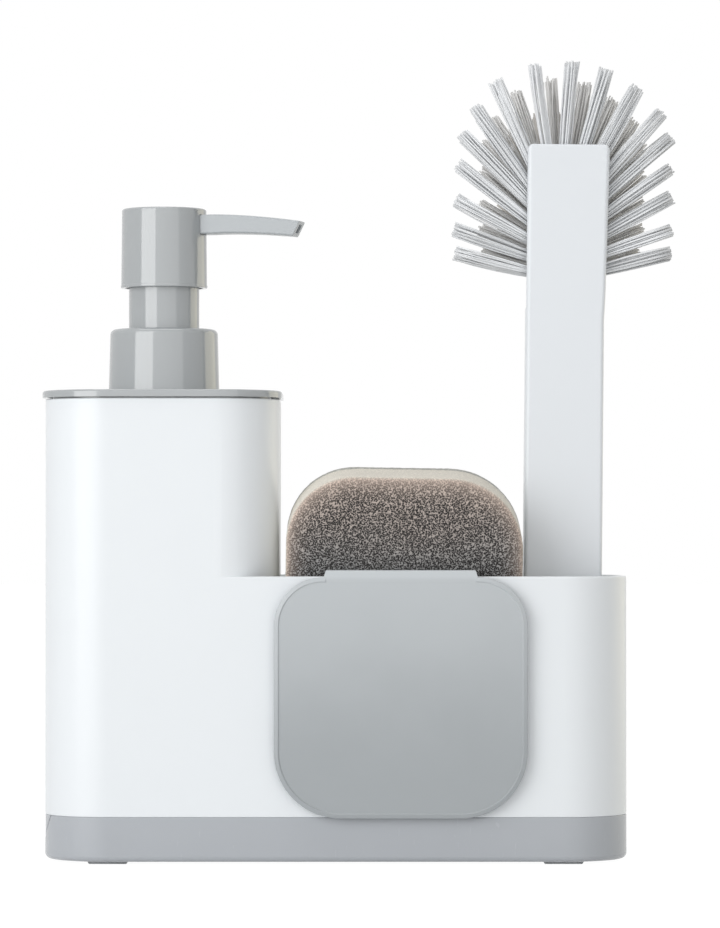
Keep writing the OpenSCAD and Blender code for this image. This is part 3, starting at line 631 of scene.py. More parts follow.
def bristle_material(name, tone):
    """Smooth nylon filaments, each with its own tone."""
    paint = Paint(name)
    wear = paint.noise(paint.place(), scale=420)
    own = paint.mix(paint.attribute("filament"), shaded(tone, 0.7), shaded(tone, 1.08))
    shade = paint.mix(wear * 0.25, own, shaded(tone, 0.85))
    return paint.surface(Base_Color=shade, Roughness=0.34 + 0.1 * wear, IOR=1.53)


# Mesh helpers

def piece(name, vertices, faces):
    mesh = bpy.data.meshes.new(name)
    mesh.from_pydata([tuple(v) for v in vertices], [], faces)
    mesh.update()
    made = bpy.data.objects.new(name, mesh)
    bpy.context.scene.collection.objects.link(made)
    return made


def discard(made):
    mesh = made.data
    bpy.data.objects.remove(made)
    bpy.data.meshes.remove(mesh)


def loft(name, rings):
    """A closed mesh through rings of equal length that run anticlockwise, first ring lowest."""
    sides = len(rings[0])
    faces = [tuple(range(sides - 1, -1, -1))]
    for level in range(len(rings) - 1):
        low, high = level * sides, (level + 1) * sides
        for i in range(sides):
            j = (i + 1) % sides
            faces.append((low + i, low + j, high + j, high + i))
    faces.append(tuple(range((len(rings) - 1) * sides, len(rings) * sides)))
    return piece(name, np.vstack(rings), faces)


def full_turn(steps):
    return np.linspace(0, 2 * math.pi, steps, endpoint=False)


def arc(x, z, radius, start, end, steps=6):
    """Points (x, z) along an arc, its angles in degrees."""
    turn = np.radians(np.linspace(start, end, steps + 1))
    return [(x + radius * math.cos(t), z + radius * math.sin(t)) for t in turn]


def corner_plan(mid, size, radii, steps=14):
    """A plan outline as a function of its inset: a rectangle whose four corners have these radii,
    from the corner at +x +y anticlockwise."""
    signs = ((1, 1), (-1, 1), (-1, -1), (1, -1))
    sharpest = 0.02 * MM

    def outline(inset):
        points = []
        for quarter, ((sx, sy), radius) in enumerate(zip(signs, radii)):
            r = max(radius - inset, sharpest)
            turn = np.radians(90 * quarter + np.linspace(0, 90, steps + 1))
            x = mid[0] + sx * (size[0] / 2 - inset - r)
            y = mid[1] + sy * (size[1] / 2 - inset - r)
            points.append(np.column_stack([x + r * np.cos(turn), y + r * np.sin(turn)]))
        return np.vstack(points)

    return outline


def prism(name, plan, profile):
    """A solid whose outline has, at each height, the inset that the profile gives."""
    rings = []
    for inset, z in profile:
        flat = plan(inset)
        rings.append(np.column_stack([flat, np.full(len(flat), z)]))
    return loft(name, rings)


def lathe(name, axis, section, steps=128):
    """A solid of revolution about a vertical axis; its section runs from the axis round to the axis."""
    turn = full_turn(steps)
    rings = [np.column_stack([axis.x + r * np.cos(turn), axis.y + r * np.sin(turn), np.full(steps, z)])
             for r, z in section]
    return face_outwards(loft(name, rings))


def face_outwards(made):
    """Merges doubled points of a closed mesh and turns its faces outwards."""
    same_point = 1e-7
    tidy = bmesh.new()
    tidy.from_mesh(made.data)
    bmesh.ops.remove_doubles(tidy, verts=tidy.verts, dist=same_point)
    bmesh.ops.recalc_face_normals(tidy, faces=tidy.faces)
    tidy.to_mesh(made.data)
    tidy.free()
    return made


def block(name, low, high):
    """A box between two corners."""
    x, y, z = zip(low, high)
    vertices = [(x[i], y[j], z[k]) for k in (0, 1) for j in (0, 1) for i in (0, 1)]
    faces = [(0, 2, 3, 1), (4, 5, 7, 6), (0, 1, 5, 4), (2, 6, 7, 3), (0, 4, 6, 2), (1, 3, 7, 5)]
    return piece(name, vertices, faces)


def apply_modifiers(made):
    bpy.context.view_layer.update()
    graph = bpy.context.evaluated_depsgraph_get()
    mesh = bpy.data.meshes.new_from_object(made.evaluated_get(graph))
    old = made.data
    made.modifiers.clear()
    made.data = mesh
    bpy.data.meshes.remove(old)
    mesh.name = made.name
    return made


def combine(made, operation, *tools):
    """UNION, DIFFERENCE or INTERSECT of a solid with others, which are used up."""
    for tool in tools:
        modifier = made.modifiers.new("combine", "BOOLEAN")
        modifier.operation = operation
        modifier.solver = "MANIFOLD"
        modifier.object = tool
    apply_modifiers(made)
    for tool in tools:
        discard(tool)
    return made


def bevelled(made, width, segments=3, limit=30):
    """Rounds every edge that turns by more than the limit in degrees."""
    modifier = made.modifiers.new("round", "BEVEL")
    modifier.width = width
    modifier.segments = segments
    modifier.limit_method = "ANGLE"
    modifier.angle_limit = math.radians(limit)
    return apply_modifiers(made)


def remeshed(made, voxel):
    """The same solid with evenly spaced points."""
    modifier = made.modifiers.new("voxels", "REMESH")
    modifier.mode = "VOXEL"
    modifier.voxel_size = voxel
    return apply_modifiers(made)


def smooth(made, limit=32):
    """Smooth shading with sharp edges past the limit, and flats that stay flat."""
    mesh = made.data
    tidy = bmesh.new()
    tidy.from_mesh(mesh)
    for edge in tidy.edges:
        edge.smooth = len(edge.link_faces) == 2 and edge.calc_face_angle(0) < math.radians(limit)
    for face in tidy.faces:
        face.smooth = True
    tidy.to_mesh(mesh)
    tidy.free()
    modifier = made.modifiers.new("flats", "WEIGHTED_NORMAL")
    modifier.keep_sharp = True
    modifier.weight = 80
    return made


def rows_of(items, name):
    """The vectors of this name that a mesh's items hold, as rows of an array."""
    values = np.zeros(len(items) * 3)
    items.foreach_get(name, values)
    return values.reshape(-1, 3)


def carry(mesh, name, values):
    """Gives every point of a mesh a number that its material reads."""
    attribute = mesh.attributes.new(name, "FLOAT", "POINT")
    attribute.data.foreach_set("value", np.array(values, np.float32))


def dress(made, material, body, slot, *nodes):
    """Gives a piece its material and body, and the CAD nodes that it stands for."""
    made.data.materials.clear()
    made.data.materials.append(material)
    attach(made, body)
    if nodes:
        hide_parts(*nodes)
    return made


def paint_node(node, material):
    """Gives a CAD node that stays in view its material."""
    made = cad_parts[node]
    made.data.materials.clear()
    made.data.materials.append(material)
    for polygon in made.data.polygons:
        polygon.material_index = 0


def frame_material(name):
    """The plain material of this name that came with the frame."""
    return bpy.data.materials[name]


def settings_of(context, name):
    return getattr(context.scene, "caddy_" + name)


# Shell

def wall_plan(s, long_side):
    """Plan of the whole caddy or of the tank, which share their left end."""
    mid = (SHELL_LOW.x + long_side / 2, SHELL_MID.y)
    return corner_plan(mid, (long_side, SHELL_SIZE.y), (s.corner_radius,) * 4, steps=20)


def outer_wall(name, plan, s, top, rounding):
    """The solid inside a wall's outer face, up to its rim."""
    low = SHELL_LOW.z
    profile = arc(s.seam_round, low + s.seam_round, s.seam_round, 270, 180, 3)
    profile += arc(rounding, top - rounding, rounding, 180, 90, 5)
    return prism(name, plan, profile)


def cavity(name, plan, s, top, rounding):
    """Space inside a wall: round where it meets the floor, and flared over the rounded rim."""
    fillet = s.floor_round
    profile = arc(s.wall + fillet, s.floor_height + fillet, fillet, 270, 180, 4)
    profile += arc(s.wall - rounding, top - rounding, rounding, 0, 90, 5)
    profile.append((s.wall - rounding, top + fillet))
    return prism(name, plan, profile)


def make_trough(s, whole, tank_plan, rim):
    """Space of the trough beside the tank, with the ribs left standing on its floor."""
    trough = cavity("trough", whole, s, rim, s.rim_round)
    combine(trough, "DIFFERENCE", outer_wall("tank", tank_plan, s, SHELL_HIGH.z, s.tank_round))
    for i in range(s.rib_count):
        x = SHELL_LOW.x + s.tank_length + s.rib_start + i * s.rib_pitch
        rib = block("rib", (x - s.rib_width / 2, SHELL_LOW.y, SHELL_LOW.z),
                    (x + s.rib_width / 2, SHELL_HIGH.y, s.floor_height + s.rib_height))
        combine(trough, "DIFFERENCE", bevelled(rib, s.rib_round))
    return trough


def drill_drains(shell, s):
    """Three rows of holes through the trough's floor."""
    first = SHELL_LOW.x + s.tank_length + s.drain_margin
    last = SHELL_HIGH.x - s.wall - s.drain_margin
    low, high = SHELL_LOW.z, s.floor_height + OVERRUN
    section = [(0, low), (s.drain_radius, low), (s.drain_radius, high), (0, high)]
    for x in np.linspace(first, last, s.drain_count):
        for row in (-1, 0, 1):
            axis = Vector((x, SHELL_MID.y + row * s.drain_row, 0))
            combine(shell, "DIFFERENCE", lathe("drain", axis, section, steps=32))


def make_shell(s):
    """Tank and trough in one moulding, open at the top and skirted below."""
    rim = PLATE_HIGH.z - bpy.context.scene.caddy_plate.hook_thickness
    whole, tank_plan = wall_plan(s, SHELL_SIZE.x), wall_plan(s, s.tank_length)
    shell = outer_wall("shell", whole, s, rim, s.rim_round)
    combine(shell, "UNION", outer_wall("tank", tank_plan, s, SHELL_HIGH.z, s.tank_round))
    trough = make_trough(s, whole, tank_plan, rim)
    soap = cavity("soap", tank_plan, s, SHELL_HIGH.z, s.tank_round)
    combine(shell, "DIFFERENCE", trough, soap)
    skirt = [(s.wall, SHELL_LOW.z - OVERRUN), (s.wall, SHELL_LOW.z + s.skirt_height)]
    combine(shell, "DIFFERENCE", prism("skirt", whole, skirt))
    drill_drains(shell, s)
    smooth(shell)
    return dress(shell, shell_plastic(s), "shell", "shell_white", "body_shell")


# Tray and feet

def make_tray(s):
    """Tray whose spigot stands inside the shell's skirt, with a finger recess in its left end."""
    shell = bpy.context.scene.caddy_shell
    plan = wall_plan(shell, SHELL_SIZE.x)
    low, seam, top = TRAY_LOW.z, SHELL_LOW.z, TRAY_HIGH.z
    small = shell.seam_round
    profile = arc(s.edge_round, low + s.edge_round, s.edge_round, 270, 180, 8)
    profile += arc(small, seam - small, small, 180, 90, 3)
    profile += [(s.spigot_inset, seam), (s.spigot_inset, top - small), (s.spigot_inset + small, top)]
    tray = prism("tray", plan, profile)
    inside = s.spigot_inset + s.spigot_wall
    floor = low + s.floor_thickness
    hollow = arc(inside + s.edge_round, floor + s.edge_round, s.edge_round, 270, 180, 4)
    hollow.append((inside, top + OVERRUN))
    combine(tray, "DIFFERENCE", prism("hollow", plan, hollow))
    combine(tray, "DIFFERENCE", finger_recess(s, plan, s.recess_depth))
    groove = finger_recess(s, plan, s.recess_depth + s.groove)
    combine(groove, "DIFFERENCE", moon_bar(s, -s.groove))
    combine(tray, "DIFFERENCE", groove)
    smooth(tray)
    return dress(tray, tray_plastic(s), "tray", "tray_grey", "base_tray")


def moon_bar(s, grow):
    """Round bar along x whose chord on the seam gives the finger recess its half-moon outline."""
    radius = (s.recess_height ** 2 + s.recess_width ** 2 / 4) / (2 * s.recess_height)
    turn = full_turn(160)
    y = SHELL_MID.y + (radius + grow) * np.cos(turn)
    z = SHELL_LOW.z - s.recess_height + radius + (radius + grow) * np.sin(turn)
    ends = (SHELL_LOW.x - 2 * OVERRUN, SHELL_MID.x)
    return loft("moon", [np.column_stack([np.full_like(y, x), y, z]) for x in ends])


def finger_recess(s, plan, depth):
    """Skin of the tray's left end inside the half-moon."""
    low, seam = TRAY_LOW.z, SHELL_LOW.z
    skin = prism("skin", plan, [(-OVERRUN, low), (-OVERRUN, seam + OVERRUN / 2)])
    core = prism("core", plan, [(depth, low - OVERRUN), (depth, seam + OVERRUN)])
    combine(skin, "DIFFERENCE", core)
    return combine(skin, "INTERSECT", moon_bar(s, 0))


def make_feet(s):
    """Four low pads with sloping ends, seated in the tray."""
    size = FOOT_HIGH - FOOT_LOW
    mid = (FOOT_LOW + FOOT_HIGH) / 2
    bevel_slope = s.foot_slope * 0.75
    profile = [(s.foot_slope, FOOT_LOW.z), (bevel_slope, FOOT_LOW.z + s.foot_edge),
               (0, TRAY_LOW.z - s.foot_gap), (0, FOOT_HIGH.z)]
    feet = []
    for sx in (-1, 1):
        for sy in (-1, 1):
            centre = (mid.x + sx * (size.x - s.foot_length) / 2, mid.y + sy * (size.y - s.foot_depth) / 2)
            plan = corner_plan(centre, (s.foot_length, s.foot_depth), (s.foot_corner,) * 4, steps=4)
            feet.append(prism("foot", plan, profile))
    pads = combine(feet[0], "UNION", *feet[1:])
    pads.name = "foot_pads"
    smooth(pads)
    return dress(pads, foot_rubber(s), "tray", "foot_pad", "feet")


# Pump

def spout_frame(s):
    """From the spout's own frame, which has x along the spout, to the caddy's."""
    return Matrix.Translation(Vector((PUMP_AXIS.x, PUMP_AXIS.y, 0))) @ Matrix.Rotation(-s.spout_yaw, 4, "Z")


def head_section(s):
    """Half the head's section, from the stem's top round the skirt to the middle of the head's top."""
    top, bottom = HEAD_HIGH.z, HEAD_HIGH.z - s.head_height
    outside, inside = s.head_radius, s.head_radius - s.head_wall
    roof, stem_top, boss_low = top - s.head_roof, top - s.stem_drop, HEAD_LOW.z
    small = s.skirt_round
    section = [(0, stem_top), (s.stem_radius, stem_top), (s.stem_radius, boss_low)]
    section += [(s.boss_radius, boss_low), (s.boss_radius, roof), (inside, roof), (inside, bottom + small)]
    section += arc(inside + small, bottom + small, small, 180, 270, 3)
    section += arc(outside - small, bottom + small, small, 270, 360, 3)
    section.append((outside, bottom + s.lip_height - s.lip_proud))
    section.append((outside - s.lip_proud, bottom + s.lip_height))
    section += arc(outside - s.head_draft - s.head_round, top - s.head_round, s.head_round, 0, 90, 8)
    section.append((0, top))
    return section


def make_head(s):
    """Hollow cap with a boss for the stem and a window that the spout leaves through."""
    head = lathe("press_head", PUMP_AXIS, head_section(s), steps=160)
    gap, side = s.window_gap, s.spout_width / 2 + s.window_gap
    spout_top = HEAD_HIGH.z - s.spout_set
    window = block("window", (s.boss_radius, -side, spout_top - s.spout_root - gap),
                   (s.head_radius * 1.2, side, spout_top + gap / 2))
    window.data.transform(spout_frame(s))
    combine(head, "DIFFERENCE", window)
    smooth(head)
    return dress(head, pump_plastic(s), "head", "pump_grey", "pump_head")


def spout_ring(s, x, middle, size, along, radius):
    """Upright section of the spout at x, which slants by its share of the way along."""
    flat = corner_plan((0, 0), size, (radius,) * 4, steps=6)(0)
    lean = s.spout_slant * along / s.spout_tip
    return np.column_stack([x + flat[:, 1] * lean, flat[:, 0], middle + flat[:, 1]])


def make_spout(s):
    """A flat tube that bends down to a slanted end with a narrow blind outlet."""
    spout_top = HEAD_HIGH.z - s.spout_set
    rings = []
    for along in np.linspace(0, 1, 25):
        run = max(0.0, (along * s.spout_reach - s.head_radius) / (s.spout_reach - s.head_radius))
        height = s.spout_root + (s.spout_tip - s.spout_root) * run
        middle = spout_top - s.spout_drop * run ** s.spout_bend - height / 2
        x = s.boss_radius + (s.spout_reach - s.spout_slant / 2 - s.boss_radius) * along
        rings.append(spout_ring(s, x, middle, (s.spout_width, height), along, s.spout_round))
    edge = s.spout_edge
    end = (s.spout_width - 2 * edge, height - 2 * edge)
    slot = (s.slot_width, s.slot_height)
    rings.append(spout_ring(s, x + edge, middle, end, 1, s.spout_round - edge))
    rings.append(spout_ring(s, x + edge, middle, slot, 1, s.slot_round))
    rings.append(spout_ring(s, x - s.slot_depth, middle, slot, 1, s.slot_round))
    spout = face_outwards(loft("spout_tube", rings))
    spout.data.transform(spout_frame(s))
    smooth(spout)
    return dress(spout, spout_plastic(s), "head", "spout_grey", "spout")


def make_spring(s):
    """Coil spring on the pump's axis."""
    low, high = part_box("return_spring")
    mid = (low + high) / 2
    wire_radius = s.wire / 2
    coil_radius = (high.x - low.x - s.wire) / 2
    rise = high.z - low.z - s.wire
    steps_a_turn = 36
    round_wire = full_turn(10)
    out = coil_radius + wire_radius * np.cos(round_wire)
    rings = []
    for along in np.linspace(0, 1, steps_a_turn * s.spring_turns + 1):
        turn = 2 * math.pi * s.spring_turns * along
        z = low.z + wire_radius + rise * along + wire_radius * np.sin(round_wire)
        rings.append(np.column_stack([mid.x + out * math.cos(turn), mid.y + out * math.sin(turn), z]))
    spring = face_outwards(loft("coil_spring", rings))
    smooth(spring, limit=60)
    apply_modifiers(spring)
    dress(spring, spring_steel(s), "pump", "steel", "return_spring")
    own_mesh(spring)


def finish_pump_parts(s):
    """Materials of the lid and of the pump's parts that keep their CAD shape."""
    grey, clear, rubber = pump_plastic(s), clear_plastic(s), seal_rubber(s)
    finishes = {"tank_lid": grey, "pump_collar": grey, "guide_sleeve": grey, "lid_seal": rubber,
                "pump_gasket": rubber, "pump_housing": clear, "dip_tube": clear, "pump_stem": clear,
                "stem_plug": clear, "pump_piston": piston_plastic(s), "check_ball": frame_material("steel")}
    for node, material in finishes.items():
        paint_node(node, material)


# Front plate

def stand_up(made):
    """Turns a solid built with its depth along z so that it faces the front: (x, y, z) to (x, -z, y)."""
    made.data.transform(Matrix.Rotation(math.radians(90), 4, "X"))
    return made


def plate_panel(s, top, back):
    """Panel with round corners and a raised lip round its front."""
    mid = (PLATE_MID_X, (PLATE_LOW.z + top) / 2)
    size = (PLATE_HIGH.x - PLATE_LOW.x, top - PLATE_LOW.z)
    radii = (s.upper_radius, s.upper_radius, s.lower_radius, s.lower_radius)
    r, depth, crest = s.edge_round, s.thickness + s.lip_height, s.lip_width - s.lip_inside
    profile = arc(r, r, r, 270, 180, 3) + arc(r, depth - s.lip_drop - r, r, 180, 100, 4)
    profile += [(crest - s.crest_round, depth - s.crest_round / 10), (crest, depth),
                (s.lip_width, s.thickness)]
    panel = stand_up(prism("front_plate_panel", corner_plan(mid, size, radii, steps=18), profile))
    panel.data.transform(Matrix.Translation((0, back, 0)))
    return panel


def plate_hook(s, flush, back, rim):
    """Bridge over the trough's rim, with a gusseted riser from the panel and a leg behind the wall."""
    half, wide = s.hook_width / 2, s.hook_width / 2 + s.gusset
    inner, r = PLATE_HIGH.y, s.edge_round
    middle = ((flush + inner) / 2, rim + s.hook_thickness / 2)
    section = corner_plan(middle, (inner - flush, s.hook_thickness), (s.hook_round,) * 4, steps=6)
    ends = ((r, -half), (0, r - half), (0, half - r), (r, half))
    rings = [np.insert(section(inset), 0, PLATE_MID_X + x, axis=1) for inset, x in ends]
    bridge = face_outwards(loft("bridge", rings))
    outline = [(-wide, -s.thickness), (wide, -s.thickness), (wide, -s.gusset_drop),
               (half, s.gusset_height), (-half, s.gusset_height), (-wide, -s.gusset_drop)]
    rings = [np.array([(PLATE_MID_X + x, y, rim + z) for x, z in outline]) for y in (back, flush)]
    riser = loft("riser", rings)
    leg = block("leg", (PLATE_MID_X - half, inner - s.leg_thickness, rim - s.leg_length),
                (PLATE_MID_X + half, inner, rim + s.hook_thickness / 2))
    return combine(bridge, "UNION", riser, bevelled(leg, s.leg_round, segments=2))


def plate_rest(s, x, back):
    """Block behind the panel that keeps it upright against the wall."""
    low = PLATE_LOW.z + s.lower_radius
    rest = block("rest", (x - s.rest_width / 2, back - s.thickness / 2, low),
                 (x + s.rest_width / 2, back + s.stand_off - s.rest_gap, low + s.rest_length))
    return bevelled(rest, s.rest_round, segments=2)


def make_plate(s):
    """Panel, hook and two rests in one moulding; the lip stops at the hook."""
    face = PLATE_LOW.y + s.set_back + s.lip_height
    back, flush = face + s.thickness, face - s.hook_proud
    rim = PLATE_HIGH.z - s.hook_thickness
    top = rim - s.panel_drop
    plate = plate_panel(s, top, back)
    notch = block("notch", (PLATE_MID_X - s.hook_width / 2, face - 2 * s.lip_height, top - 2 * s.lip_width),
                  (PLATE_MID_X + s.hook_width / 2, flush, PLATE_HIGH.z + OVERRUN))
    combine(plate, "UNION", plate_hook(s, flush, back, rim))
    combine(plate, "DIFFERENCE", notch)
    for side in (-1, 1):
        combine(plate, "UNION", plate_rest(s, PLATE_MID_X + side * s.hook_width / 3, back))
    smooth(plate)
    return dress(plate, plate_plastic(s), "plate", "plate_grey", "front_plate")


# Sponge

def sponge_matrix(s):
    """Stands the sponge's own frame, foot at its origin and front at y = 0, where the CAD foam stands."""
    turn = Matrix.Rotation(s.roll, 4, "Y") @ Matrix.Rotation(s.lean, 4, "X")
    middle = turn @ Vector((0, s.foam / 2, s.height / 2))
    return Matrix.Translation((FOAM_LOW + FOAM_HIGH) / 2 - middle) @ turn


def sponge_layer(name, s, front, back, front_round, back_round):
    """A slab of the sponge between two depths, with rounded front and back edges and even points."""
    radii = (s.worn_radius,) + (s.corner_radius,) * 3
    plan = corner_plan((0, s.height / 2), (s.width, s.height), radii, steps=16)
    profile = arc(back_round, back_round - back, back_round, 270, 180, 4)
    profile += arc(front_round, -front - front_round, front_round, 180, 90, 6)
    return remeshed(stand_up(prism(name, plan, profile)), s.voxel)


def edge_distance(s, x, z):
    """Distance of points of the sponge's face from its outline."""
    radius = np.where((x > 0) & (z > s.height / 2), s.worn_radius, s.corner_radius)
    beside = np.abs(x) - (s.width / 2 - radius)
    above = np.abs(z - s.height / 2) - (s.height / 2 - radius)
    outside = np.hypot(np.maximum(beside, 0), np.maximum(above, 0))
    return radius - outside - np.minimum(np.maximum(beside, above), 0)


def painted_edge_light(s, points, inset):
    """Painted light from above at each point: 0 in the middle of the face, 1 to 1.5 on the sides and back.
    """
    border_power, border_share, most = 1.22, 0.65, 1.5
    depth = np.clip((points[:, 1] - s.painted_light_start) / s.painted_light_fade, 0, 1)
    border = np.clip(1 - inset / s.border, 0, 1) ** border_power
    # Painted light from above is strongest along the top
    upper = np.interp(points[:, 2] / s.height, (0.8, 0.95), (0.75, 1))
    return np.clip(depth + border_share * border * upper, 0, most)


def make_foam(s):
    """Foam with an uneven skin and a slightly crowned face."""
    foam = sponge_layer("foam_block", s, 0, s.foam, s.edge_round, s.joint_round)
    mesh = foam.data
    points = rows_of(mesh.vertices, "co")
    normals = rows_of(mesh.vertex_normals, "vector")
    inset = edge_distance(s, points[:, 0], points[:, 2])
    coarse, fine, fine_share = 900, 1900, 0.6
    rough = np.array([noise.noise(Vector(p) * coarse) + fine_share * noise.noise(Vector(p) * fine)
                      for p in points])
    points += normals * (s.unevenness * rough - s.skin_inset)[:, None]
    face = np.clip(1 - points[:, 1] / s.crown_depth, 0, 1)
    points[:, 1] += face * s.crown * np.clip(1 - inset / s.crown_width, 0, 1) ** 2
    mesh.vertices.foreach_set("co", points.ravel())
    # Each point carries its painted light from above
    carry(mesh, "edge", painted_edge_light(s, points, inset))
    mesh.update()
    mesh.transform(sponge_matrix(s))
    mesh.shade_smooth()
    dress(foam, foam_material(s), "sponge", "sponge_foam", "sponge_foam")


def make_scourer(s):
    """Scouring layer on the foam's back, with a fibrous skin."""
    front, back = s.foam + s.glue, s.foam + s.scourer
    pad = sponge_layer("scouring_layer", s, front, back, s.joint_round, s.back_round)
    mesh = pad.data
    points = rows_of(mesh.vertices, "co")
    normals = rows_of(mesh.vertex_normals, "vector")
    fibre_scale = np.array((700, 900, 300))
    fuzz = np.array([noise.noise(Vector(p * fibre_scale)) for p in points])
    points += normals * (s.fuzz * fuzz - s.fuzz_inset)[:, None]
    mesh.vertices.foreach_set("co", points.ravel())
    mesh.transform(sponge_matrix(s))
    mesh.shade_smooth()
    dress(pad, scourer_material(s), "sponge", "scourer", "sponge_scourer")


# Brush

def brush_matrix(s):
    """Stands the brush's own frame, with the middle of the foot's front at its origin."""
    return Matrix.Translation(Vector(s.foot)) @ Matrix.Rotation(s.lean, 4, "Y")


def handle_ring(s, z, inset, front, back):
    """Section of the handle at a height: straight on the left, and on the right a soft step up to a
    face that widens upwards."""
    half, top = s.grip_width / 2, s.grip_length + s.face_length
    waist = half - s.waist
    right = np.interp(z, (0, s.grip_length - s.step_length, s.grip_length + s.step_length, top),
                      (half, waist, waist + s.face_step, s.face_width - half))
    mid = ((right - half) / 2, (front + back) / 2)
    radius = max(s.grip_round - inset, s.end_round)
    plan = corner_plan(mid, (right + half - 2 * inset, back - front), (radius,) * 4, steps=5)(0)
    return np.column_stack([plan, np.full(len(plan), z)])


def make_handle(s):
    """Grip and head in one moulding with one flat front; the head is thinner and has a shoulder behind."""
    grip, top = s.grip_length, s.grip_length + s.face_length
    thick, thin = s.grip_thickness, s.face_thickness
    rings = []
    for turn in np.radians(np.linspace(0, 90, 5)):
        inset = s.grip_round * (1 - math.sin(turn))
        rings.append(handle_ring(s, s.grip_round * (1 - math.cos(turn)), inset, inset, thick - inset))
    for z in np.linspace(0.1, 1, 9) * (grip - s.step_length):
        rings.append(handle_ring(s, z, 0, 0, thick))
    rings.append(handle_ring(s, grip - s.shoulder, 0, 0, thick))
    rings.append(handle_ring(s, grip - s.shoulder * 0.3, 0, 0, thick - s.shoulder * 0.7))
    for z in (grip, grip + s.step_length, top - 1.5 * s.face_round):
        rings.append(handle_ring(s, z, 0, 0, thin))
    for turn in np.radians(np.linspace(0, 90, 9)):
        drop = s.face_round * (1 - math.sin(turn))
        over = max(s.face_edge - drop, 0)
        edge = s.face_edge - math.sqrt(s.face_edge ** 2 - over ** 2)
        rings.append(handle_ring(s, top - drop, s.face_round * (1 - math.cos(turn)), edge, thin - edge / 2))
    handle = loft("brush_grip", rings)
    smooth(handle)
    handle.data.transform(brush_matrix(s))
    return dress(handle, brush_plastic(s), "brush", "handle_white", "brush_handle")


# Tufts

# Turn from one filament of a tuft to the next, which fills the tuft evenly
GOLDEN_ANGLE = math.pi * (3 - math.sqrt(5))

# How unevenly they stand: the spreads of the tufts' leans and of the filaments' turns and lengths, the
# share that is cut off short ones, how much further stray ones stray, the chance of either, and the
# range of their thickness
TUFT_SKEW = 0.018
TURN_SPREAD = 0.3
TRIM_SPREAD = 0.022
SHORT_CUT, SHORT_CHANCE = 0.10, 0.06
STRAY_FACTOR, STRAY_CHANCE = 2.2, 0.05
THINNEST, THICKEST = 0.85, 1.1

# Their tones, between the darkest at 0 and the palest at 1
FILAMENT_TONE, TONE_SPREAD, TUFT_TONE_SPREAD = 0.62, 0.22, 0.12
SLAB_TONE = 0.7


class TuftRow:
    """Places and leans of one row of tufts, in the brush's own frame. The tufts are numbered from the
    middle outwards, with negative numbers at the left and halves in the middle row."""

    arc_tufts = 3

    # Lean in degrees, and reach past the trimmed outline in millimetres, from the middle outwards
    left = ((4, -0.6), (9.5, -0.5), (25.5, 1), (37, 0.3), (46, 0.5),
            (53, 0), (64, 0.7), (71, 0.9), (76, 0.4))
    right = ((4, -0.6), (16, 0), (29.5, 1.5), (39, 2.3), (46.5, 2.3),
             (53.5, 1.3), (60, 1.3), (69.5, 1.3), (75, 1.3))

    def __init__(self, number, tilt, reach_share):
        self.s = bpy.context.scene.caddy_tufts
        self.brush = bpy.context.scene.caddy_brush
        self.number = number
        self.y = self.brush.face_thickness + (number + 0.5) * self.s.slice
        self.tilt = math.radians(tilt)
        self.reach_share = reach_share
        top = self.brush.grip_length + self.brush.face_length
        self.fan_z = top - self.s.fan_drop
        self.arc_z = top - self.s.root_drop - self.s.root_radius

    def places(self):
        """Numbers of the row's tufts."""
        if self.number == 1:
            return [k + 0.5 for k in range(-self.s.side, self.s.side)]
        inner = self.s.side - (1 if self.number == 2 else 0)
        return list(range(-inner, inner + 1))

    def root(self, k):
        """Where a tuft is rooted: round an arc at the top, and straight down from its ends."""
        turn = math.radians(90 / self.arc_tufts * min(abs(k), self.arc_tufts))
        x = math.copysign(1, k) * self.s.root_radius * math.sin(turn) if k else 0.0
        below = max(abs(k) - self.arc_tufts, 0) * self.s.pitch
        return x, self.arc_z + self.s.root_radius * math.cos(turn) - below

    def table(self, k, column):
        """Lean in degrees, or extra reach in millimetres, of a tuft or of a place between two."""
        side = self.left if k < 0 else self.right
        values = [row[column] for row in side]
        if column == 0 and -1 < k < 0:
            values[0] = -values[0]
        return float(np.interp(abs(k), range(len(values)), values))

    def lean(self, k):
        return math.radians(self.table(k, 0)) * (-1 if k < 0 else 1)

    def reach(self, k):
        """Length of a tuft up to the trimmed outline: a half circle with straight sides below it."""
        x, z = self.root(k)
        lean = self.lean(k)
        high, low = self.reach_share
        radius = self.s.fan_radius * (high + (low - high) * math.sin(abs(lean)))
        extra = self.table(k, 1) * MM
        side = (radius - abs(x)) / max(math.sin(abs(lean)), 1e-3)
        if z + side * math.cos(lean) <= self.fan_z:
            return side + extra
        b = abs(x) * math.sin(abs(lean)) + (z - self.fan_z) * math.cos(lean)
        c = x * x + (z - self.fan_z) ** 2 - radius * radius
        return -b + math.sqrt(b * b - c) + extra

    def axes(self, k):
        """Directions along a tuft and across it, sideways and towards the front."""
        lean, tilt = self.lean(k), self.tilt
        along = np.array([math.sin(lean) * math.cos(tilt), math.sin(tilt), math.cos(lean) * math.cos(tilt)])
        sideways = np.array([math.cos(lean), 0, -math.sin(lean)])
        return along, sideways, np.cross(along, sideways)


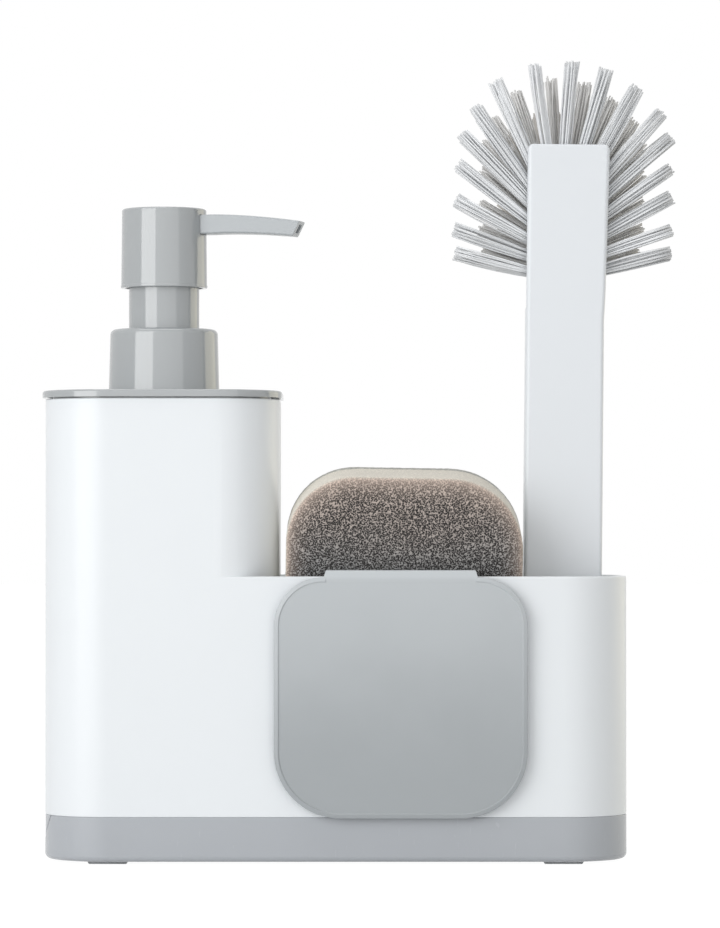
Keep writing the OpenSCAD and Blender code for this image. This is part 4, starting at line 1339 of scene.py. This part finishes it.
class TuftMesh:
    """Points, faces and tones of a row of tufts."""

    sides, levels = 5, 4

    def __init__(self):
        self.points = []
        self.faces = []
        self.tones = []

    def add_filament(self, root, tip, bow, radius, tone):
        """A slightly bowed tube from root to tip."""
        along = tip - root
        along /= np.linalg.norm(along)
        across = np.cross(along, (0, 1, 0))
        across /= np.linalg.norm(across)
        other = np.cross(along, across)
        turn = full_turn(self.sides)
        ring = radius * (np.outer(np.cos(turn), across) + np.outer(np.sin(turn), other))
        t = np.linspace(0, 1, self.levels + 1)[:, None]
        line = root + (tip - root) * t + bow * (t * (1 - t) * 4)
        rings = line[:, None, :] + ring[None, :, :]
        first = len(self.points)
        last = first + self.levels * self.sides
        self.points.extend(rings.reshape(-1, 3))
        for low in range(first, last, self.sides):
            high = low + self.sides
            for i in range(self.sides):
                j = (i + 1) % self.sides
                self.faces.append((low + i, high + i, high + j, low + j))
        self.faces.append(tuple(range(last + self.sides - 1, last - 1, -1)))
        self.faces.append(tuple(range(first, first + self.sides)))
        self.tones.extend([tone] * (last + self.sides - first))

    def add_solid(self, solid, tone):
        """The points and faces of a solid, which is used up; gives the number of its first face."""
        first, first_face = len(self.points), len(self.faces)
        mesh = solid.data
        self.points.extend(np.array([v.co for v in mesh.vertices]))
        self.faces.extend(tuple(first + i for i in polygon.vertices) for polygon in mesh.polygons)
        self.tones.extend([tone] * len(mesh.vertices))
        discard(solid)
        return first_face


def add_tuft(tufts, row, k, bundle, rng):
    """One tuft, filament by filament: spread like the seeds of a sunflower and each a little astray."""
    s = row.s
    along, sideways, forward = row.axes(k)
    x, z = row.root(k)
    middle = np.array([x, row.y, z])
    reach = row.reach(k)
    skew = rng.normal(0, TUFT_SKEW, 2)
    tuft_tone = rng.uniform(-TUFT_TONE_SPREAD, TUFT_TONE_SPREAD)
    for j in range(bundle):
        spread = math.sqrt((j + 0.5) / bundle)
        turn = j * GOLDEN_ANGLE + rng.normal(0, TURN_SPREAD)
        out = spread * (math.cos(turn) * sideways + math.sin(turn) * forward)
        trim = 1 - abs(rng.normal(0, TRIM_SPREAD)) - (SHORT_CUT if rng.random() < SHORT_CHANCE else 0)
        stray = s.stray * rng.normal(0, 1, 2) * (STRAY_FACTOR if rng.random() < STRAY_CHANCE else 1)
        root = middle + out * s.root_spread
        tip = middle + along * reach * trim + out * s.tip_spread
        tip += (stray[0] + skew[0] * reach) * sideways + (stray[1] + skew[1] * reach) * forward
        bow = s.bow * (rng.normal(0, 1) * sideways + rng.normal(0, 1) * forward) + out * s.flare
        radius = s.filament * rng.uniform(THINNEST, THICKEST)
        tone = np.clip(FILAMENT_TONE + tuft_tone + rng.normal(0, TONE_SPREAD), 0, 1)
        tufts.add_filament(root, tip, bow, radius, tone)


def tuft_slab(row):
    """Slice of the tuft block that carries one row, round at its top."""
    s = row.s
    bottom, top = row.brush.grip_length, row.arc_z + s.block_radius
    radii = (s.block_radius - s.block_flat,) * 2 + (s.block_corner,) * 2
    plan = corner_plan((0, (bottom + top) / 2), (2 * s.block_radius, top - bottom), radii, steps=14)
    back, small = -(row.y + s.slice / 2), s.slice_round
    profile = arc(small, back + small, small, 270, 180, 2) + [(0, back + s.slice)]
    return stand_up(prism("slab", plan, profile))


def make_tuft_row(row, bundle, node, tone):
    """One row of tufts with the slice of the block that carries it."""
    rng = np.random.default_rng(20 + row.number)
    tufts = TuftMesh()
    for k in row.places():
        add_tuft(tufts, row, k, bundle, rng)
    first_slab_face = tufts.add_solid(tuft_slab(row), SLAB_TONE)
    made = piece(node.replace("bristles", "tufts"), tufts.points, tufts.faces)
    mesh = made.data
    carry(mesh, "filament", tufts.tones)
    mesh.transform(Matrix.Translation((row.s.fan_set, 0, 0)))
    mesh.transform(brush_matrix(row.brush))
    for polygon in mesh.polygons:
        polygon.use_smooth = len(polygon.vertices) == 4
    dress(made, bristle_material(node.replace("bristles", "bristle"), tone), "brush", "bristle", node)
    mesh.materials.append(frame_material("handle_white"))
    for polygon in mesh.polygons[first_slab_face:]:
        polygon.material_index = 1


def make_tufts(s):
    """Three rows, which further back lean more, reach less, hold fewer filaments and are painted darker as
    painted shade.
    """
    # Painted shade: the middle row's tone halfway to the back row's
    middle = tuple((a + b) / 2 for a, b in zip(s.light, s.shade))
    make_tuft_row(TuftRow(0, tilt=0, reach_share=(1, 1)), s.bundle, "bristles_front", s.light)
    make_tuft_row(TuftRow(1, tilt=18, reach_share=(0.94, 0.75)), s.bundle - 3, "bristles_middle", middle)
    make_tuft_row(TuftRow(2, tilt=38, reach_share=(0.8, 0.62)), s.bundle - 6, "bristles_back", s.shade)


# Stage

def softbox(name, location, target, size, radiance, tint=(1, 1, 1)):
    """A flat lamp that faces its target and shines as brightly for its area as the radiance says."""
    light = bpy.data.lights.new(name, "AREA")
    light.shape = "RECTANGLE"
    light.size, light.size_y = size
    light.energy = radiance * math.pi * size[0] * size[1]
    light.color = tint
    made = bpy.data.objects.new(name, light)
    bpy.context.scene.collection.objects.link(made)
    made.location = location
    aim = Vector(target) - Vector(location)
    made.rotation_euler = aim.to_track_quat("-Z", "Y").to_euler()


def seen_directly(paint):
    """1 for rays from the camera, a mirror or clear plastic, and 0 for light that falls on the object."""
    camera, mirror, clear = [paint.node("ShaderNodeLightPath", output=name)
                             for name in ("Is Camera Ray", "Is Glossy Ray", "Is Transmission Ray")]
    total = camera + mirror + clear
    return total.maths("MINIMUM", total, 1.0)


def make_world(s):
    """White to look at, and dimmer as a light."""
    scene = bpy.context.scene
    scene.world = scene.world or bpy.data.worlds.new("World")
    air = WorldPaint(scene.world)
    seen = seen_directly(air)
    strength = seen + (1 - seen) * s.ambient
    background = air.node("ShaderNodeBackground", {}, {"Color": (1, 1, 1), "Strength": strength})
    air.finish(background, "ShaderNodeOutputWorld")


def make_floor(s):
    """Pale floor that keeps the caddy's shadow and is otherwise nearly white to look at."""
    reach = s.floor_reach
    corners = [(-reach, -reach, 0), (reach, -reach, 0), (reach, reach, 0), (-reach, reach, 0)]
    floor = piece("floor", corners, [(0, 1, 2, 3)])
    paint = Paint("pale_floor")
    grain = paint.noise(paint.place(), scale=90, detail=3)
    tone = paint.mix(grain, (0.84, 0.84, 0.84), (0.86, 0.86, 0.86))
    diffuse = paint.node("ShaderNodeBsdfDiffuse", {}, {"Color": tone})
    glow = paint.node("ShaderNodeEmission", {}, {"Color": (1, 1, 1), "Strength": 1.15})
    glow_share = seen_directly(paint) * 0.85
    paint.finish(paint.node("ShaderNodeMixShader", {}, {0: glow_share, 1: diffuse, 2: glow}))
    floor.data.materials.append(paint.material)


def make_camera(s):
    """Camera at the distance and with the lens that were fitted to the photograph."""
    camera = bpy.data.cameras.new("camera")
    made = bpy.data.objects.new("camera", camera)
    bpy.context.scene.collection.objects.link(made)
    bpy.context.scene.camera = made
    lens_px = s.distance / s.pixel
    camera.sensor_width = 36
    camera.lens = camera.sensor_width * lens_px / s.picture_rows
    made.location = (s.eye_x, SHELL_MID.y - s.distance, s.eye_height)
    tilt = math.atan((s.horizon_row - s.picture_rows / 2) / lens_px)
    made.rotation_euler = (math.radians(90) + tilt, 0, 0)


def make_stage(s):
    bpy.context.scene.view_settings.view_transform = "Standard"
    make_world(s)
    make_floor(s)
    softbox("key", s.key_place, s.aim, s.key_size, s.key)
    softbox("top", s.top_place, s.top_aim, s.top_size, s.top)
    softbox("warm", s.warm_place, s.aim, s.warm_size, s.warm, tint=(1, 0.9, 0.6))
    softbox("front", s.front_place, s.aim, s.front_size, s.front)
    make_camera(s)


# Operators, one for each piece or group of like pieces, and one for the stage

class CADDY_OT_stage(bpy.types.Operator):
    """Sets the floor, the lamps, the world and the camera"""
    bl_idname = "caddy.stage"
    bl_label = "Stage"

    def execute(self, context):
        make_stage(settings_of(context, "stage"))
        return {"FINISHED"}


class CADDY_OT_shell(bpy.types.Operator):
    """Builds the white moulding with the soap tank and the trough"""
    bl_idname = "caddy.shell"
    bl_label = "Shell"

    def execute(self, context):
        make_shell(settings_of(context, "shell"))
        return {"FINISHED"}


class CADDY_OT_tray(bpy.types.Operator):
    """Builds the grey tray with its finger recess, and its four feet"""
    bl_idname = "caddy.tray"
    bl_label = "Tray and feet"

    def execute(self, context):
        settings = settings_of(context, "tray")
        make_tray(settings)
        make_feet(settings)
        return {"FINISHED"}


class CADDY_OT_pump(bpy.types.Operator):
    """Builds the pump's head, spout and spring, and finishes its lid, collar and inner parts"""
    bl_idname = "caddy.pump"
    bl_label = "Pump"

    def execute(self, context):
        settings = settings_of(context, "pump")
        make_head(settings)
        make_spout(settings)
        make_spring(settings)
        finish_pump_parts(settings)
        return {"FINISHED"}


class CADDY_OT_plate(bpy.types.Operator):
    """Builds the front plate with its lip, hook and rests"""
    bl_idname = "caddy.plate"
    bl_label = "Front plate"

    def execute(self, context):
        make_plate(settings_of(context, "plate"))
        return {"FINISHED"}


class CADDY_OT_sponge(bpy.types.Operator):
    """Builds the sponge's foam and its scouring layer"""
    bl_idname = "caddy.sponge"
    bl_label = "Sponge"

    def execute(self, context):
        settings = settings_of(context, "sponge")
        make_foam(settings)
        make_scourer(settings)
        return {"FINISHED"}


class CADDY_OT_brush(bpy.types.Operator):
    """Builds the brush's handle with the head's face"""
    bl_idname = "caddy.brush"
    bl_label = "Brush handle"

    def execute(self, context):
        make_handle(settings_of(context, "brush"))
        return {"FINISHED"}


class CADDY_OT_tufts(bpy.types.Operator):
    """Builds the three rows of tufts, filament by filament"""
    bl_idname = "caddy.tufts"
    bl_label = "Tufts"

    def execute(self, context):
        make_tufts(settings_of(context, "tufts"))
        return {"FINISHED"}


SETTINGS = {"stage": CaddyStageSettings, "shell": CaddyShellSettings, "tray": CaddyTraySettings,
            "pump": CaddyPumpSettings, "plate": CaddyPlateSettings, "sponge": CaddySpongeSettings,
            "brush": CaddyBrushSettings, "tufts": CaddyTuftSettings}
OPERATORS = [CADDY_OT_stage, CADDY_OT_shell, CADDY_OT_tray, CADDY_OT_pump, CADDY_OT_plate, CADDY_OT_sponge,
             CADDY_OT_brush, CADDY_OT_tufts]


class CADDY_PT_panel(bpy.types.Panel):
    """Lists the caddy's operators with their settings"""
    bl_label = "Caddy"
    bl_idname = "CADDY_PT_panel"
    bl_space_type = "VIEW_3D"
    bl_region_type = "UI"
    bl_category = "Caddy"

    def draw(self, context):
        for name, operator in zip(SETTINGS, OPERATORS):
            box = self.layout.box()
            box.operator(operator.bl_idname)
            settings = settings_of(context, name)
            for key in SETTINGS[name].__annotations__:
                box.prop(settings, key)


CLASSES = [*SETTINGS.values(), *OPERATORS, CADDY_PT_panel]


def register():
    for cls in CLASSES:
        bpy.utils.register_class(cls)
    for name, group in SETTINGS.items():
        setattr(bpy.types.Scene, "caddy_" + name, PointerProperty(type=group))


def unregister():
    for name in SETTINGS:
        delattr(bpy.types.Scene, "caddy_" + name)
    for cls in reversed(CLASSES):
        bpy.utils.unregister_class(cls)


def main():
    register()
    for name in SETTINGS:
        getattr(bpy.ops.caddy, name)()


if __name__ == "__main__":
    main()
